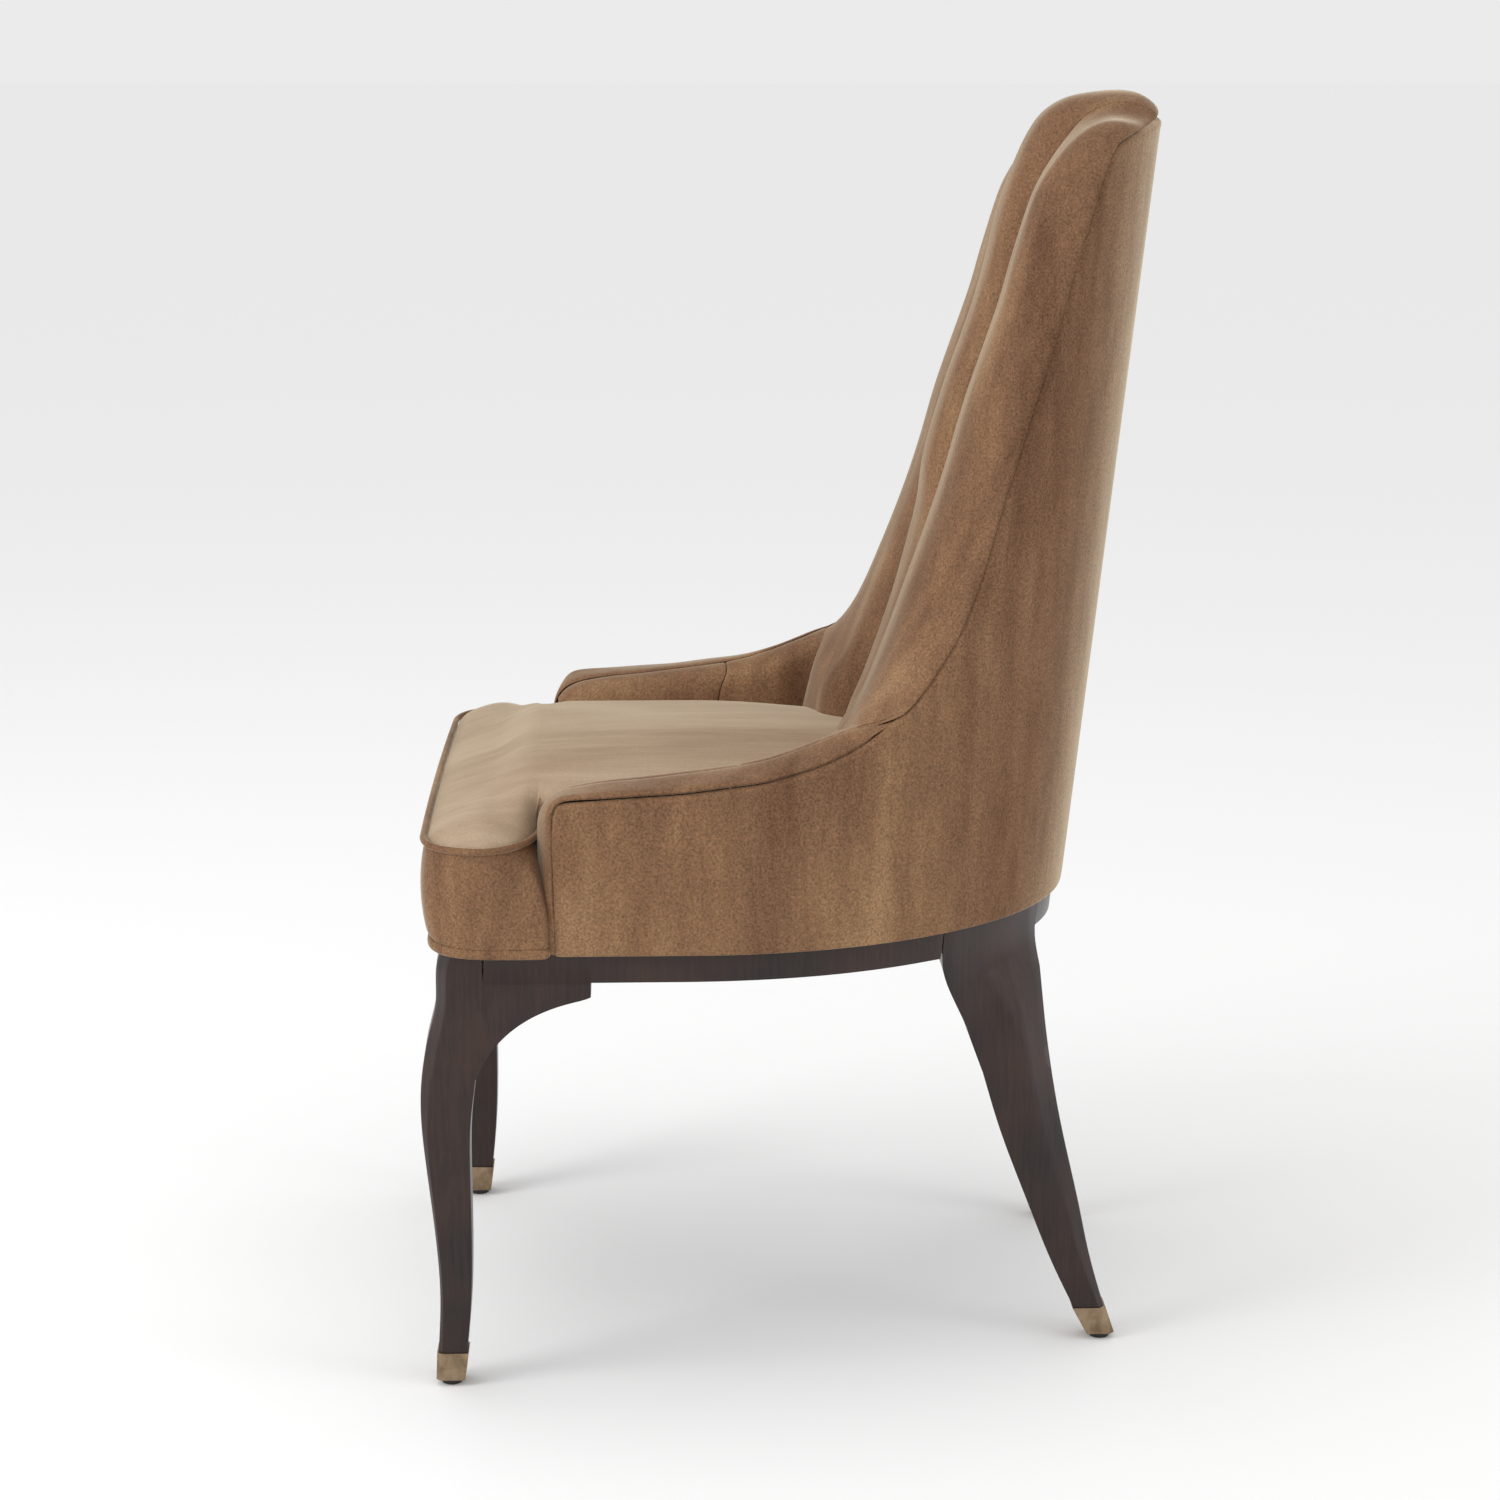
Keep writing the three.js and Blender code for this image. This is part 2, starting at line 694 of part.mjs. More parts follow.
// The cloth underneath reaches the rails and passes in front of the rear legs.
const [legFront, , , , legBack] = rearLegTop(railBottom).corners;
const dustPlan = mirrorPlan([
  [legInnerX - 4, frontLegRearY + 2],
  ...[0, 0.15, 0.3, 0.42].map((station) => railPoint(inBlock + clear, station).toArray()),
  [legFront[0] - 4, legFront[1] - 8],
  [legBack[0] - 4, legBack[1] - 8],
  railPoint(inBlock + 2 * clear, 0.9).toArray(),
]);
add("dust_cover", slab(dustPlan, railBottom + 2, railBottom + 3.5), "cambric");

// ---- Arms ----

// Each arm: a post on the side rail, a curved rail to the back post, padding on the inside
// and a boxing strip over the front and the top.
const armTop = (y) => seamHeight(y) - 1;
const armRailInset = 10;
const armRailDrop = boxingThickness + 6;
const armRailDepth = 26;
const armRailCeiling = level(0.065);
const armRailSpan = [-0.88, 0.62];
const postTop = armTop(armFrontY) - armRailDrop - armRailDepth - gap;

function armRail(side) {
  const line = (inset) => (share) => planPoint(inset, THREE.MathUtils.lerp(...armRailSpan, share));
  const top = (y) => Math.min(armRailCeiling, armTop(y) - armRailDrop);
  const bottom = (y) => top(y) - armRailDepth;
  return planBar(side, line(armRailInset), line(armRailInset + postWidth), 16, bottom, top);
}

function armPost(side) {
  const outer = railOuterX;
  const front = armFrontY + 12;
  return boxBetween(side * outer, side * (outer - postWidth), front, front + 34, railTop + gap, postTop);
}

// The boxing is a thin crowned strip, narrowing to a point where it runs into the side seam.
function armBoxing() {
  const inner = shellHalfWidth - armWidth;
  const endZ = level(0.1);
  const endY = crestY(endZ) + lean(endZ) + 4;
  const path = [
    [armFrontY - 9, seatDeck + clear],
    [armFrontY - 10, weltHeight - 13],
    [armFrontY - 9, armSeamHeight - 19],
    [armFrontY - 5, armSeamHeight - 7],
    [armFrontY + 4, armSeamHeight + 2],
    [armFrontY + 22, armSeamHeight + 8],
  ];
  for (let y = armFrontY + 50; y < endY; y += 25) {
    path.push([y, seamHeight(y - lean(seamHeight(y))) + 3]);
  }
  path.push([endY, seamHeight(endY - lean(endZ)) + 1]);
  const curve = new THREE.SplineCurve(path.map(([y, z]) => new THREE.Vector2(y, z)));
  const rings = [];
  const steps = 30;
  for (let i = 0; i <= steps; i++) {
    const { x: y, y: z } = curve.getPoint(i / steps);
    const ahead = curve.getTangent(i / steps);
    const outer = planHalfWidth(coverThickness + 3 * clear, y - lean(z));
    const narrow = THREE.MathUtils.smoothstep(y, shellCentreY, endY + 60) * 16;
    const nearX = inner + narrow;
    const drop = new THREE.Vector2(ahead.y, -ahead.x).multiplyScalar(boxingThickness);
    const crown = new THREE.Vector2(-ahead.y, ahead.x).multiplyScalar(2);
    const at = (x, dy, dz) => new THREE.Vector3(x, y + dy, z + dz);
    rings.push([
      at(nearX, 0, 0),
      at((nearX + outer) / 2, crown.x, crown.y),
      at(outer, 0, 0),
      at(outer, drop.x, drop.y),
      at(nearX, drop.x, drop.y),
    ]);
  }
  return loft(rings);
}

// Padding on the inside of the arm, between two depths, topped just under the boxing.
function innerArm(side, fromY, toY, frontTilt, rearTilt) {
  const rings = [];
  const steps = 5;
  const middleZ = weltHeight + 7;
  for (let i = 0; i <= steps; i++) {
    const share = i / steps;
    const y = THREE.MathUtils.lerp(fromY, toY, share);
    const tilt = (z) => (THREE.MathUtils.lerp(frontTilt, rearTilt, share) * (z - middleZ)) / 70;
    const topZ = seamHeight(y - lean(armSeamHeight + 7)) - 3;
    const outer = planHalfWidth(armWidth + clear, y - lean(topZ) + 10) - clear;
    const bulge = 4 * Math.sin(Math.PI * share);
    const point = (x, z) => new THREE.Vector3(side * x, y + tilt(z), z);
    const low = seatDeck + clear;
    rings.push([
      point(outer, low),
      point(outer, topZ - 2),
      point(outer - 8, topZ),
      point(armPadInnerX + 14, topZ - 12),
      point(armPadInnerX + 4 - bulge, middleZ),
      point(armPadInnerX + 3 - bulge / 2, low),
    ]);
  }
  return loft(rings);
}

const armPadFront = armFrontY + 2;
const armPanelSeam = armPadFront + frontPanelLength;
const armPadRear = crestY(weltHeight) + lean(weltHeight) - 13;
const boxing = armBoxing();
for (const side of [1, -1]) {
  const name = sideName(side);
  add(`arm_post_${name}`, armPost(side), "frameWood");
  add(`arm_rail_${name}`, armRail(side), "frameWood");
  add(`arm_boxing_${name}`, side > 0 ? boxing : mirrored(boxing), "velvet");
  const frontPad = innerArm(side, armPadFront, armPanelSeam - clear, 0, 14);
  add(`inner_arm_front_${name}`, frontPad, "velvet");
  const rearPad = innerArm(side, armPanelSeam + clear, armPadRear, 14, 20);
  add(`inner_arm_rear_${name}`, rearPad, "velvet");
}

// ---- Back ----

// The padding stands this far inside the outside cover.
const padInset = coverThickness + clear;

// A level section through the centre channel, from the seam on the right to the seam on the left.
function centreSection(z, front, rear, inset) {
  const half = channelSeamX - clear;
  const groove = front + grooveDepth;
  const sideRear = Math.min(rear, planReach(inset, half) - clear);
  return [
    place(1, -half, groove, z),
    place(1, -half + 8, front + 4, z),
    place(1, -half * 0.45, front + 0.5, z),
    place(1, half * 0.45, front + 0.5, z),
    place(1, half - 8, front + 4, z),
    place(1, half, groove, z),
    place(1, half, sideRear, z),
    place(1, 0, rear, z),
    place(1, -half, sideRear, z),
  ];
}

function centreChannel() {
  const levels = [-0.024, 0.05, 0.163, 0.275, 0.387, 0.499, 0.63, 0.761, 0.873].map(level);
  const rings = [seatDeck + clear, ...levels].map((z) => {
    return centreSection(z, centreY(z), crestY(z) + padThickness(z), padInset);
  });
  // The roll over the top: height above the rear seam, distance from the rear of the shell to the
  // front and to the back of the padding, inset of the sides.
  const roll = [
    [-43, 112, 62, padInset],
    [-23, 106, 20, padInset],
    [gap, 94, padInset, padInset],
    [3 * gap, 93, 3, 0],
    [rollRise * 0.7, 76, 12, 0],
    [rollRise, 48, 26, 0],
  ];
  roll.forEach(([rise, front, back, inset]) => {
    rings.push(centreSection(backSeamHeight + rise, rearY - front, rearY - back, inset));
  });
  return loft(rings);
}
add("back_channel_centre", centreChannel(), "velvet");

// Heights of the sections below and above the place where the arm's boxing runs out.
const lowLevels = [-0.028, 0.032, 0.093, 0.118].map(level);
const highShares = [0.136, 0.181, 0.237, 0.312, 0.406, 0.518, 0.649, 0.779, 0.873, 0.927];
const highLevels = highShares.map(level);

// A level section through a side channel. outerX and outerY are its far corner on the plan.
function sideSection(side, z, outerX, outerY, front, rear) {
  const inner = channelSeamX + clear;
  const crest = Math.min(channelCrestX, (inner + outerX) / 2);
  const shoulder = THREE.MathUtils.lerp(crest, outerX, 0.65);
  const shoulderY = THREE.MathUtils.lerp(front, outerY, 0.42);
  const back = (x) => Math.min(rear, planReach(padInset + 3, x) - 1);
  return [
    place(side, inner, front + grooveDepth, z),
    place(side, inner + 10, front + 3, z),
    place(side, crest, front, z),
    place(side, shoulder, shoulderY, z),
    place(side, outerX, outerY, z),
    place(side, outerX - 3, Math.max(outerY + 2, Math.min(back(outerX - 3), outerY + 18)), z),
    place(side, shoulder, back(shoulder), z),
    place(side, crest, back(crest), z),
    place(side, inner, back(inner), z),
  ];
}

function sideChannel(side) {
  const rings = [];
  // Behind the arm: distance inside the arm's boxing, distance in front of the crest.
  const lowEdge = [
    [32, 0],
    [32, 1],
    [23, 0],
    [7, 6],
    [3, 5],
  ];
  [seatDeck + clear, ...lowLevels].forEach((z, i) => {
    const [inside, before] = lowEdge[i];
    const outerX = shellHalfWidth - armWidth - inside;
    const outerY = crestY(z) - before;
    rings.push(sideSection(side, z, outerX, outerY, crestY(z), crestY(z) + padThickness(z)));
  });
  highLevels.forEach((z) => {
    const outerY = seamReach(z) - 3 * clear;
    const outerX = planHalfWidth(padInset, outerY);
    rings.push(sideSection(side, z, outerX, outerY, crestY(z), crestY(z) + padThickness(z)));
  });
  // The shoulder of the roll: height below the crown, front, rear and outer edge.
  const roll = [
    [38, 90, 20, 146],
    [26, 78, 16, 134],
    [16, 66, 16, 116],
    [9, 54, 26, 92],
  ];
  roll.forEach(([drop, front, back, outerX]) => {
    const outerY = planReach(padInset, outerX) - 14;
    rings.push(sideSection(side, backHeight - drop, outerX, outerY, rearY - front, rearY - back));
  });
  return loft(rings);
}
for (const side of [1, -1]) {
  add(`back_channel_${sideName(side)}`, sideChannel(side), "velvet");
}

// Posts and rails that carry the back.
const backPostX = 118;
const backPostTop = level(0.877);
const backPostAt = (z) => backPostX - (z - seatDeck) * 0.045;
const backPostFront = (z) => crestY(z) + padThickness(z) + clear;
const backLevels = [...lowLevels, ...highLevels].filter((z) => z < backPostTop - 5);
backLevels.unshift(seatDeck + gap);
backLevels.push(backPostTop);
function backPost(side) {
  const half = postWidth / 2;
  const rings = backLevels.map((z) => {
    const x = backPostAt(z);
    const front = backPostFront(z);
    return [
      place(side, x - half, front, z),
      place(side, x + half, front, z),
      place(side, x + half, front + postDepth, z),
      place(side, x - half, front + postDepth, z),
    ];
  });
  return loft(rings);
}

// A rail from post to post, clear of the padding in front of it.
function crossRail(low, high) {
  const half = backPostAt(high) - postWidth / 2 - gap;
  const padRear = backLevels.map((z) => [z, backPostFront(z) + lean(z)]);
  const between = padRear.filter(([z]) => z > low && z < high).map(([, y]) => y);
  const front = Math.max(lookUp(padRear, low), lookUp(padRear, high), ...between);
  return boxBetween(-half, half, front, front + postDepth - 4, low, high);
}
for (const side of [1, -1]) {
  add(`back_post_${sideName(side)}`, backPost(side), "frameWood");
}
add("back_top_rail", crossRail(backPostTop - 42, backPostTop), "frameWood");
add("back_stay_rail", crossRail(weltHeight + 42, weltHeight + 82), "frameWood");

// ---- Seat ----

const wingHalfWidth = shellHalfWidth + wingSpread;
const stemHalfWidth = armPadInnerX - 4; // between the inside arms
const seatRearY = crestY(seatDeck) + lean(seatDeck) - 12;

// Half of the seat's outline from the front middle to the rear middle, inset all round.
function seatOutline(inset) {
  const front = seatFrontY + inset;
  const wing = wingHalfWidth - inset;
  const rear = wingRearY - inset;
  const stem = stemHalfWidth - inset;
  const corner = 46;
  const back = seatRearY - inset;
  const shape = new THREE.Shape();
  shape.moveTo(0, front);
  shape.lineTo(wing - corner, front + 2);
  shape.quadraticCurveTo(wing - 4, front + 4, wing, front + corner - 12);
  shape.quadraticCurveTo(wing, rear - 6, wing - 34, rear - 3);
  shape.lineTo(stem + 8, rear);
  shape.quadraticCurveTo(stem, rear, stem, rear + 8);
  shape.lineTo(stem, back);
  const half = shape.getPoints(7);
  const mirrored = half.slice(1).map((p) => new THREE.Vector2(-p.x, p.y));
  return [...half, ...mirrored.reverse()];
}

// A block with the seat's outline and a crowned top. The edge rises towards the back.
function seatBlock(inset, bottom, drop) {
  const outline = seatOutline(inset);
  const edge = (y) => {
    const share = THREE.MathUtils.smoothstep(y, wingRearY, seatRearY - 20);
    return THREE.MathUtils.lerp(weltHeight, seatRearHeight, share) - drop;
  };
  const middleY = wingRearY - 10;
  const rings = [outline.map(({ x, y }) => new THREE.Vector3(x, y, bottom))];
  for (const scale of [1, 0.96, 0.88, 0.72, 0.5, 0.2]) {
    const rise = 1 - scale ** 3;
    rings.push(
      outline.map(({ x, y }) => {
        const z = THREE.MathUtils.lerp(edge(y), seatCrown - drop, rise);
        return new THREE.Vector3(x * scale, middleY + (y - middleY) * scale, z);
      }),
    );
  }
  return loft(rings);
}

// The sides of the wings run on to the front edges of the outside cover.
function wingSides(low, high) {
  return [1, -1].map((side) => {
    const outer = side * wingHalfWidth;
    const inner = side * (wingHalfWidth - seatFabric);
    return boxBetween(outer, inner, wingOpenY - 20, armFrontY - clear, low, high);
  });
}

function seatCover() {
  const inside = seatBlock(seatFabric, bandTop - 10, seatFabric);
  const wingInside = wingHalfWidth - seatFabric;
  const under = boxBetween(
    -wingInside,
    wingInside,
    wingOpenY,
    seatRearY + 5,
    bandTop - 10,
    seatDeck + seatFabric,
  );
  const shell = cut(seatBlock(0, bandTop, 0), inside, under);
  return join(shell, ...wingSides(bandTop, weltHeight - weltDiameter));
}
add("seat_cover", seatCover(), "velvet");
add("seat_foam", seatBlock(seatFabric + clear, seatDeck + gap, seatFabric + clear), "foam");

// The narrow band under the cover hides its tacked edge.
function hemBand() {
  const outline = (inset) => seatOutline(inset).map(({ x, y }) => [x, y]);
  const band = slab(outline(0), bandBottom, bandTop - gap);
  const inside = slab(outline(seatFabric), bandBottom - 5, bandTop + 5);
  const wide = wingHalfWidth + 5;
  const rear = boxBetween(-wide, wide, wingOpenY, seatRearY + 5, bandBottom - 5, bandTop + 5);
  return join(cut(band, inside, rear), ...wingSides(bandBottom, bandTop - gap));
}
add("seat_hem_band", hemBand(), "velvet");

// Piping along the edge of the seat's top, ending where it passes behind the arms.
function welt() {
  const radius = weltDiameter / 2;
  const offset = radius + 2 * gap;
  const half = seatOutline(-offset).filter(({ x, y }) => x > 0 && y < wingRearY + offset + gap);
  const points = [...half.slice().reverse(), ...half.map((p) => new THREE.Vector2(-p.x, p.y))];
  const path = points.map(({ x, y }) => new THREE.Vector3(x, y, weltHeight));
  const curve = new THREE.CatmullRomCurve3(path, false, "centripetal");
  const section = new THREE.Shape().absarc(0, 0, radius, 0, 2 * Math.PI);
  return new THREE.ExtrudeGeometry(section, { extrudePath: curve, steps: 56, curveSegments: 4 });
}
add("seat_welt", welt(), "velvet");

// The origin of the finished chair is on the floor under the middle of its box.
chair.updateMatrixWorld(true);
const middle = new THREE.Box3().setFromObject(chair).getCenter(new THREE.Vector3());
chair.position.set(0, -middle.y, 0);

export default chair;
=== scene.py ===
import json
import math
import bpy
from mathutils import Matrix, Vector


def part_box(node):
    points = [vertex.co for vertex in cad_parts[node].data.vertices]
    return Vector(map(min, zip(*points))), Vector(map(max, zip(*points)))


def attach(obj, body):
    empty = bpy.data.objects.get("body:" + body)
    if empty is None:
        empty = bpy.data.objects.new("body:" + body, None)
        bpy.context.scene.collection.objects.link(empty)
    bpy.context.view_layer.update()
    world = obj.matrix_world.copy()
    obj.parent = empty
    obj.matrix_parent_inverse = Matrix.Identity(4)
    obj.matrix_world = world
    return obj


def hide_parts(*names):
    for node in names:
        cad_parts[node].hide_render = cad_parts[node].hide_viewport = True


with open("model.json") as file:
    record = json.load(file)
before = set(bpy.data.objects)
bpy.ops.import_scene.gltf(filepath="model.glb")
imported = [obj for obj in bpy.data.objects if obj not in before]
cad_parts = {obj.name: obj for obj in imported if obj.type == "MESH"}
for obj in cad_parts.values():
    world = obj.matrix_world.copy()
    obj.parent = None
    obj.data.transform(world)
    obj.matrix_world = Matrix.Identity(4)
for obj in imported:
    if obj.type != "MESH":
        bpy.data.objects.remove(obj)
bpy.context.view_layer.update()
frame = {"nodes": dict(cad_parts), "record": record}
bpy.ops.object.select_all(action="DESELECT")
print("frame loaded,", len(frame["nodes"]), "nodes")

# The chair's own millimetres: Y = 0 on the line of the front feet, Z = 0 on the floor
glideLow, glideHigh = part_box("glide_base_front_left")
frontLine = (glideLow[1] + glideHigh[1]) / 2


def mm(x, y, z):
    return Vector((x / 1000, y / 1000 + frontLine, z / 1000))


# Camera, level with the top of the back and square to the chair's left side
view = {
    "place": (2721.4, 164.5, 1061.8),
    "aim": (-0.97757, 0.03190, -0.20818),
    "lens": 77.08,
    "sensor": 36,
}
bpy.ops.object.camera_add(location=mm(*view["place"]))
camera = bpy.context.object
camera.rotation_euler = Vector(view["aim"]).to_track_quat("-Z", "Y").to_euler()
camera.data.lens = view["lens"]
camera.data.sensor_width = view["sensor"]
bpy.context.scene.camera = camera
bpy.context.scene.view_settings.view_transform = "Standard"
print("camera set")

# The plan of the shell: straight arms, then half an ellipse, leaning back as it rises
shell = {
    "halfWidth": 276,
    "centre": 204,
    "depth": 320,
    "bottom": 374,
    "armFront": 90,
    "lean": 0.109,
}


# Colours and nodes
def hexColour(text):
    parts = [int(text[i:i + 2], 16) / 255 for i in (1, 3, 5)]
    return tuple(c / 12.92 if c <= 0.04045 else ((c + 0.055) / 1.055) ** 2.4 for c in parts) + (1,)


def addNode(tree, kind, links=None, values=None, **settings):
    node = tree.nodes.new(kind)
    for key, value in settings.items():
        setattr(node, key, value)
    for key, value in (values or {}).items():
        node.inputs[key].default_value = value
    for key, socket in (links or {}).items():
        tree.links.new(socket, node.inputs[key])
    return node


def newMaterial(name):
    material = bpy.data.materials.new(name)
    material.use_nodes = True
    tree = material.node_tree
    tree.nodes.clear()
    place = addNode(tree, "ShaderNodeTexCoord")
    return material, tree, place.outputs["Object"]


def finishMaterial(tree, shader):
    addNode(tree, "ShaderNodeOutputMaterial", {"Surface": shader.outputs[0]})


def setRamp(node, stops):
    ramp = node.color_ramp
    while len(ramp.elements) < len(stops):
        ramp.elements.new(0.5)
    for element, (place, colour) in zip(ramp.elements, stops):
        element.position = place
        element.color = hexColour(colour)


# Cotton velvet: a short dense pile that lies one way or the other, so it is mottled light and dark,
# with a pale sheen where it turns away
velvetLook = {
    "dark": "#634633",
    "middle": "#7f5f46",
    "light": "#9b7b5a",
    "sheen": "#f0e4cc",
    "patch": 110,       # mm across the large soft patches
    "cloud": 24,        # mm across the small ones
    "streak": (1, 1, 0.22),
    "tuft": 1.9,        # mm, the pile's speckle, drawn coarser than the real 0.3 so that it shows
    "speckle": 0.4,     # how far the speckle darkens and lightens the colour
    "paintedSheenColour": "#b9a488",
    "paintedSheen": 0.0,       # how far a painted sheen pales the rear of the shell, standing in for light where the cloth turns away
    "paintedSheenFrom": 0.13,  # m, the depth on the leaning shell where that painted sheen begins
    "paintedSheenTo": 0.225,   # m, where it is palest
}


def velvet(name, look, shift=0.0):
    material, tree, place = newMaterial(name)
    moved = addNode(tree, "ShaderNodeMapping", {"Vector": place},
                    {"Location": (shift, shift, 0), "Scale": look["streak"]})
    patches = addNode(tree, "ShaderNodeTexNoise", {"Vector": moved.outputs[0]},
                      {"Scale": 1000 / look["patch"], "Detail": 3, "Roughness": 0.5,
                       "Distortion": 0.5})
    clouds = addNode(tree, "ShaderNodeTexNoise", {"Vector": moved.outputs[0]},
                     {"Scale": 1000 / look["cloud"], "Detail": 4, "Roughness": 0.6,
                      "Distortion": 0.3})
    tufts = addNode(tree, "ShaderNodeTexNoise", {"Vector": place},
                    {"Scale": 1000 / look["tuft"], "Detail": 2, "Roughness": 0.75})
    nap = addNode(tree, "ShaderNodeMix", {"A": patches.outputs[0], "B": clouds.outputs[0]},
                  {"Factor": 0.35}, data_type="FLOAT")
    colour = addNode(tree, "ShaderNodeValToRGB", {"Fac": nap.outputs[0]})
    setRamp(colour, [(0.32, look["dark"]), (0.5, look["middle"]), (0.7, look["light"])])
    base = colour.outputs[0]
    # painted sheen: towards the rear of the shell the colour is mixed towards a pale one, standing in for
    # light on the cloth where it turns away
    if look["paintedSheen"]:
        # how far back a point lies, without the shell's lean
        parts = addNode(tree, "ShaderNodeSeparateXYZ", {"Vector": place})
        upright = addNode(tree, "ShaderNodeMath", {0: parts.outputs["Z"], 2: parts.outputs["Y"]},
                          {1: -shell["lean"]}, operation="MULTIPLY_ADD")
        toRear = addNode(tree, "ShaderNodeMapRange", {"Value": upright.outputs[0]},
                         {"From Min": look["paintedSheenFrom"], "From Max": look["paintedSheenTo"],
                          "To Max": look["paintedSheen"]},
                         interpolation_type="SMOOTHSTEP")
        uneven = addNode(tree, "ShaderNodeMath", {0: toRear.outputs[0], 1: nap.outputs[0]},
                         operation="MULTIPLY")
        paintedSheenColour = addNode(tree, "ShaderNodeMix", {"Factor": uneven.outputs[0], "A": base},
                          {"B": hexColour(look["paintedSheenColour"])}, data_type="RGBA")
        base = paintedSheenColour.outputs["Result"]
    speckle = addNode(tree, "ShaderNodeMapRange", {"Value": tufts.outputs[0]},
                      {"From Min": 0.3, "From Max": 0.7, "To Min": 1 - look["speckle"],
                       "To Max": 1 + look["speckle"]})
    spotted = addNode(tree, "ShaderNodeVectorMath",
                      {0: base, "Scale": speckle.outputs[0]}, operation="SCALE")
    pile = addNode(tree, "ShaderNodeBump", {"Height": tufts.outputs[0]},
                   {"Strength": 0.4, "Distance": 0.0006})
    drape = addNode(tree, "ShaderNodeBump", {"Height": clouds.outputs[0], "Normal": pile.outputs[0]},
                    {"Strength": 0.2, "Distance": 0.003})
    shader = addNode(tree, "ShaderNodeBsdfPrincipled",
                     {"Base Color": spotted.outputs[0], "Normal": drape.outputs[0]},
                     {"Roughness": 0.9, "Specular IOR Level": 0.15, "Sheen Weight": 1.0,
                      "Sheen Roughness": 0.24, "Sheen Tint": hexColour(look["sheen"])})
    finishMaterial(tree, shader)
    return material


# Espresso-stained hardwood under a satin lacquer: nearly black, with the brown of the wood
# showing along the grain
espressoLook = {
    "dark": "#150d0a",
    "light": "#38221a",
    "grain": 3.5,       # mm between the figure's lines
    "run": 60,          # mm that a line runs before it fades
}


def espressoWood(look):
    material, tree, place = newMaterial("espressoWood")
    stretched = addNode(tree, "ShaderNodeMapping", {"Vector": place},
                        {"Scale": (1000 / look["grain"], 1000 / look["grain"], 1000 / look["run"])})
    grain = addNode(tree, "ShaderNodeTexNoise", {"Vector": stretched.outputs[0]},
                    {"Scale": 1, "Detail": 4, "Roughness": 0.6, "Distortion": 0.4})
    cloud = addNode(tree, "ShaderNodeTexNoise", {"Vector": place}, {"Scale": 14, "Detail": 2})
    both = addNode(tree, "ShaderNodeMix", {"A": grain.outputs[0], "B": cloud.outputs[0]},
                   {"Factor": 0.55}, data_type="FLOAT")
    colour = addNode(tree, "ShaderNodeValToRGB", {"Fac": both.outputs[0]})
    setRamp(colour, [(0.35, look["dark"]), (0.68, look["light"])])
    rough = addNode(tree, "ShaderNodeMapRange", {"Value": both.outputs[0]},
                    {"To Min": 0.3, "To Max": 0.42})
    pores = addNode(tree, "ShaderNodeBump", {"Height": grain.outputs[0]},
                    {"Strength": 0.06, "Distance": 0.0005})
    shader = addNode(tree, "ShaderNodeBsdfPrincipled",
                     {"Base Color": colour.outputs[0], "Roughness": rough.outputs[0],
                      "Normal": pores.outputs[0]},
                     {"Specular IOR Level": 0.35, "Coat Weight": 0.12, "Coat Roughness": 0.25})
    finishMaterial(tree, shader)
    return material


# A plain surface with fine mottling: raw wood, foam, cloth, nylon and the metals
def mottled(name, dark, light, size, roughness, metallic=0.0, bump=0.1, stretch=(1, 1, 1)):
    material, tree, place = newMaterial(name)
    scaled = addNode(tree, "ShaderNodeMapping", {"Vector": place}, {"Scale": stretch})
    spots = addNode(tree, "ShaderNodeTexNoise", {"Vector": scaled.outputs[0]},
                    {"Scale": 1000 / size, "Detail": 4, "Roughness": 0.6})
    colour = addNode(tree, "ShaderNodeValToRGB", {"Fac": spots.outputs[0]})
    setRamp(colour, [(0.35, dark), (0.65, light)])
    rough = addNode(tree, "ShaderNodeMapRange", {"Value": spots.outputs[0]},
                    {"To Min": roughness - 0.06, "To Max": roughness + 0.06})
    grit = addNode(tree, "ShaderNodeBump", {"Height": spots.outputs[0]},
                   {"Strength": bump, "Distance": 0.0003})
    shader = addNode(tree, "ShaderNodeBsdfPrincipled",
                     {"Base Color": colour.outputs[0], "Roughness": rough.outputs[0],
                      "Normal": grit.outputs[0]},
                     {"Metallic": metallic})
    finishMaterial(tree, shader)
    return material


velvetCloth = velvet("cottonVelvet", velvetLook)
# the shell's velvet, its rear paled by painted sheen
shellVelvetPaintedSheen = velvet("cottonVelvetShellPaintedSheen", {**velvetLook, "paintedSheen": 1.5})
# The seat's top: the same velvet in paler colours, partly for its pile lying the other way and partly
# painted light from above on the top
seatLookPaintedLight = {**velvetLook, "dark": "#8b735b", "middle": "#a18970", "light": "#b5a087",
            "streak": (1, 0.22, 1), "speckle": 0.1}
seatVelvetPaintedLight = velvet("cottonVelvetSeatPaintedLight", seatLookPaintedLight, 0.3)
espresso = espressoWood(espressoLook)
agedBrass = mottled("agedBrass", "#7d6a54", "#a28c72", 14, 0.34, 1.0, 0.05)
zincSteel = mottled("zincPlatedSteel", "#85858a", "#b0b0ac", 6, 0.35, 1.0)
blackNylon = mottled("mouldedNylon", "#141312", "#24211f", 1.2, 0.5)
rawBeech = mottled("rawBeech", "#a98256", "#cfaa78", 30, 0.7, 0.0, 0.2, (1, 0.15, 1))
birchPly = mottled("birchPlywood", "#b08c58", "#d9bd8d", 25, 0.7, 0.0, 0.2, (0.2, 1, 6))
seatFoam = mottled("cutFoam", "#cdbf94", "#e2d7b4", 2.0, 0.95, 0.0, 0.4)
cambricCloth = mottled("cambric", "#17171a", "#2b2b30", 0.8, 0.95, 0.0, 0.3)
print("materials made")


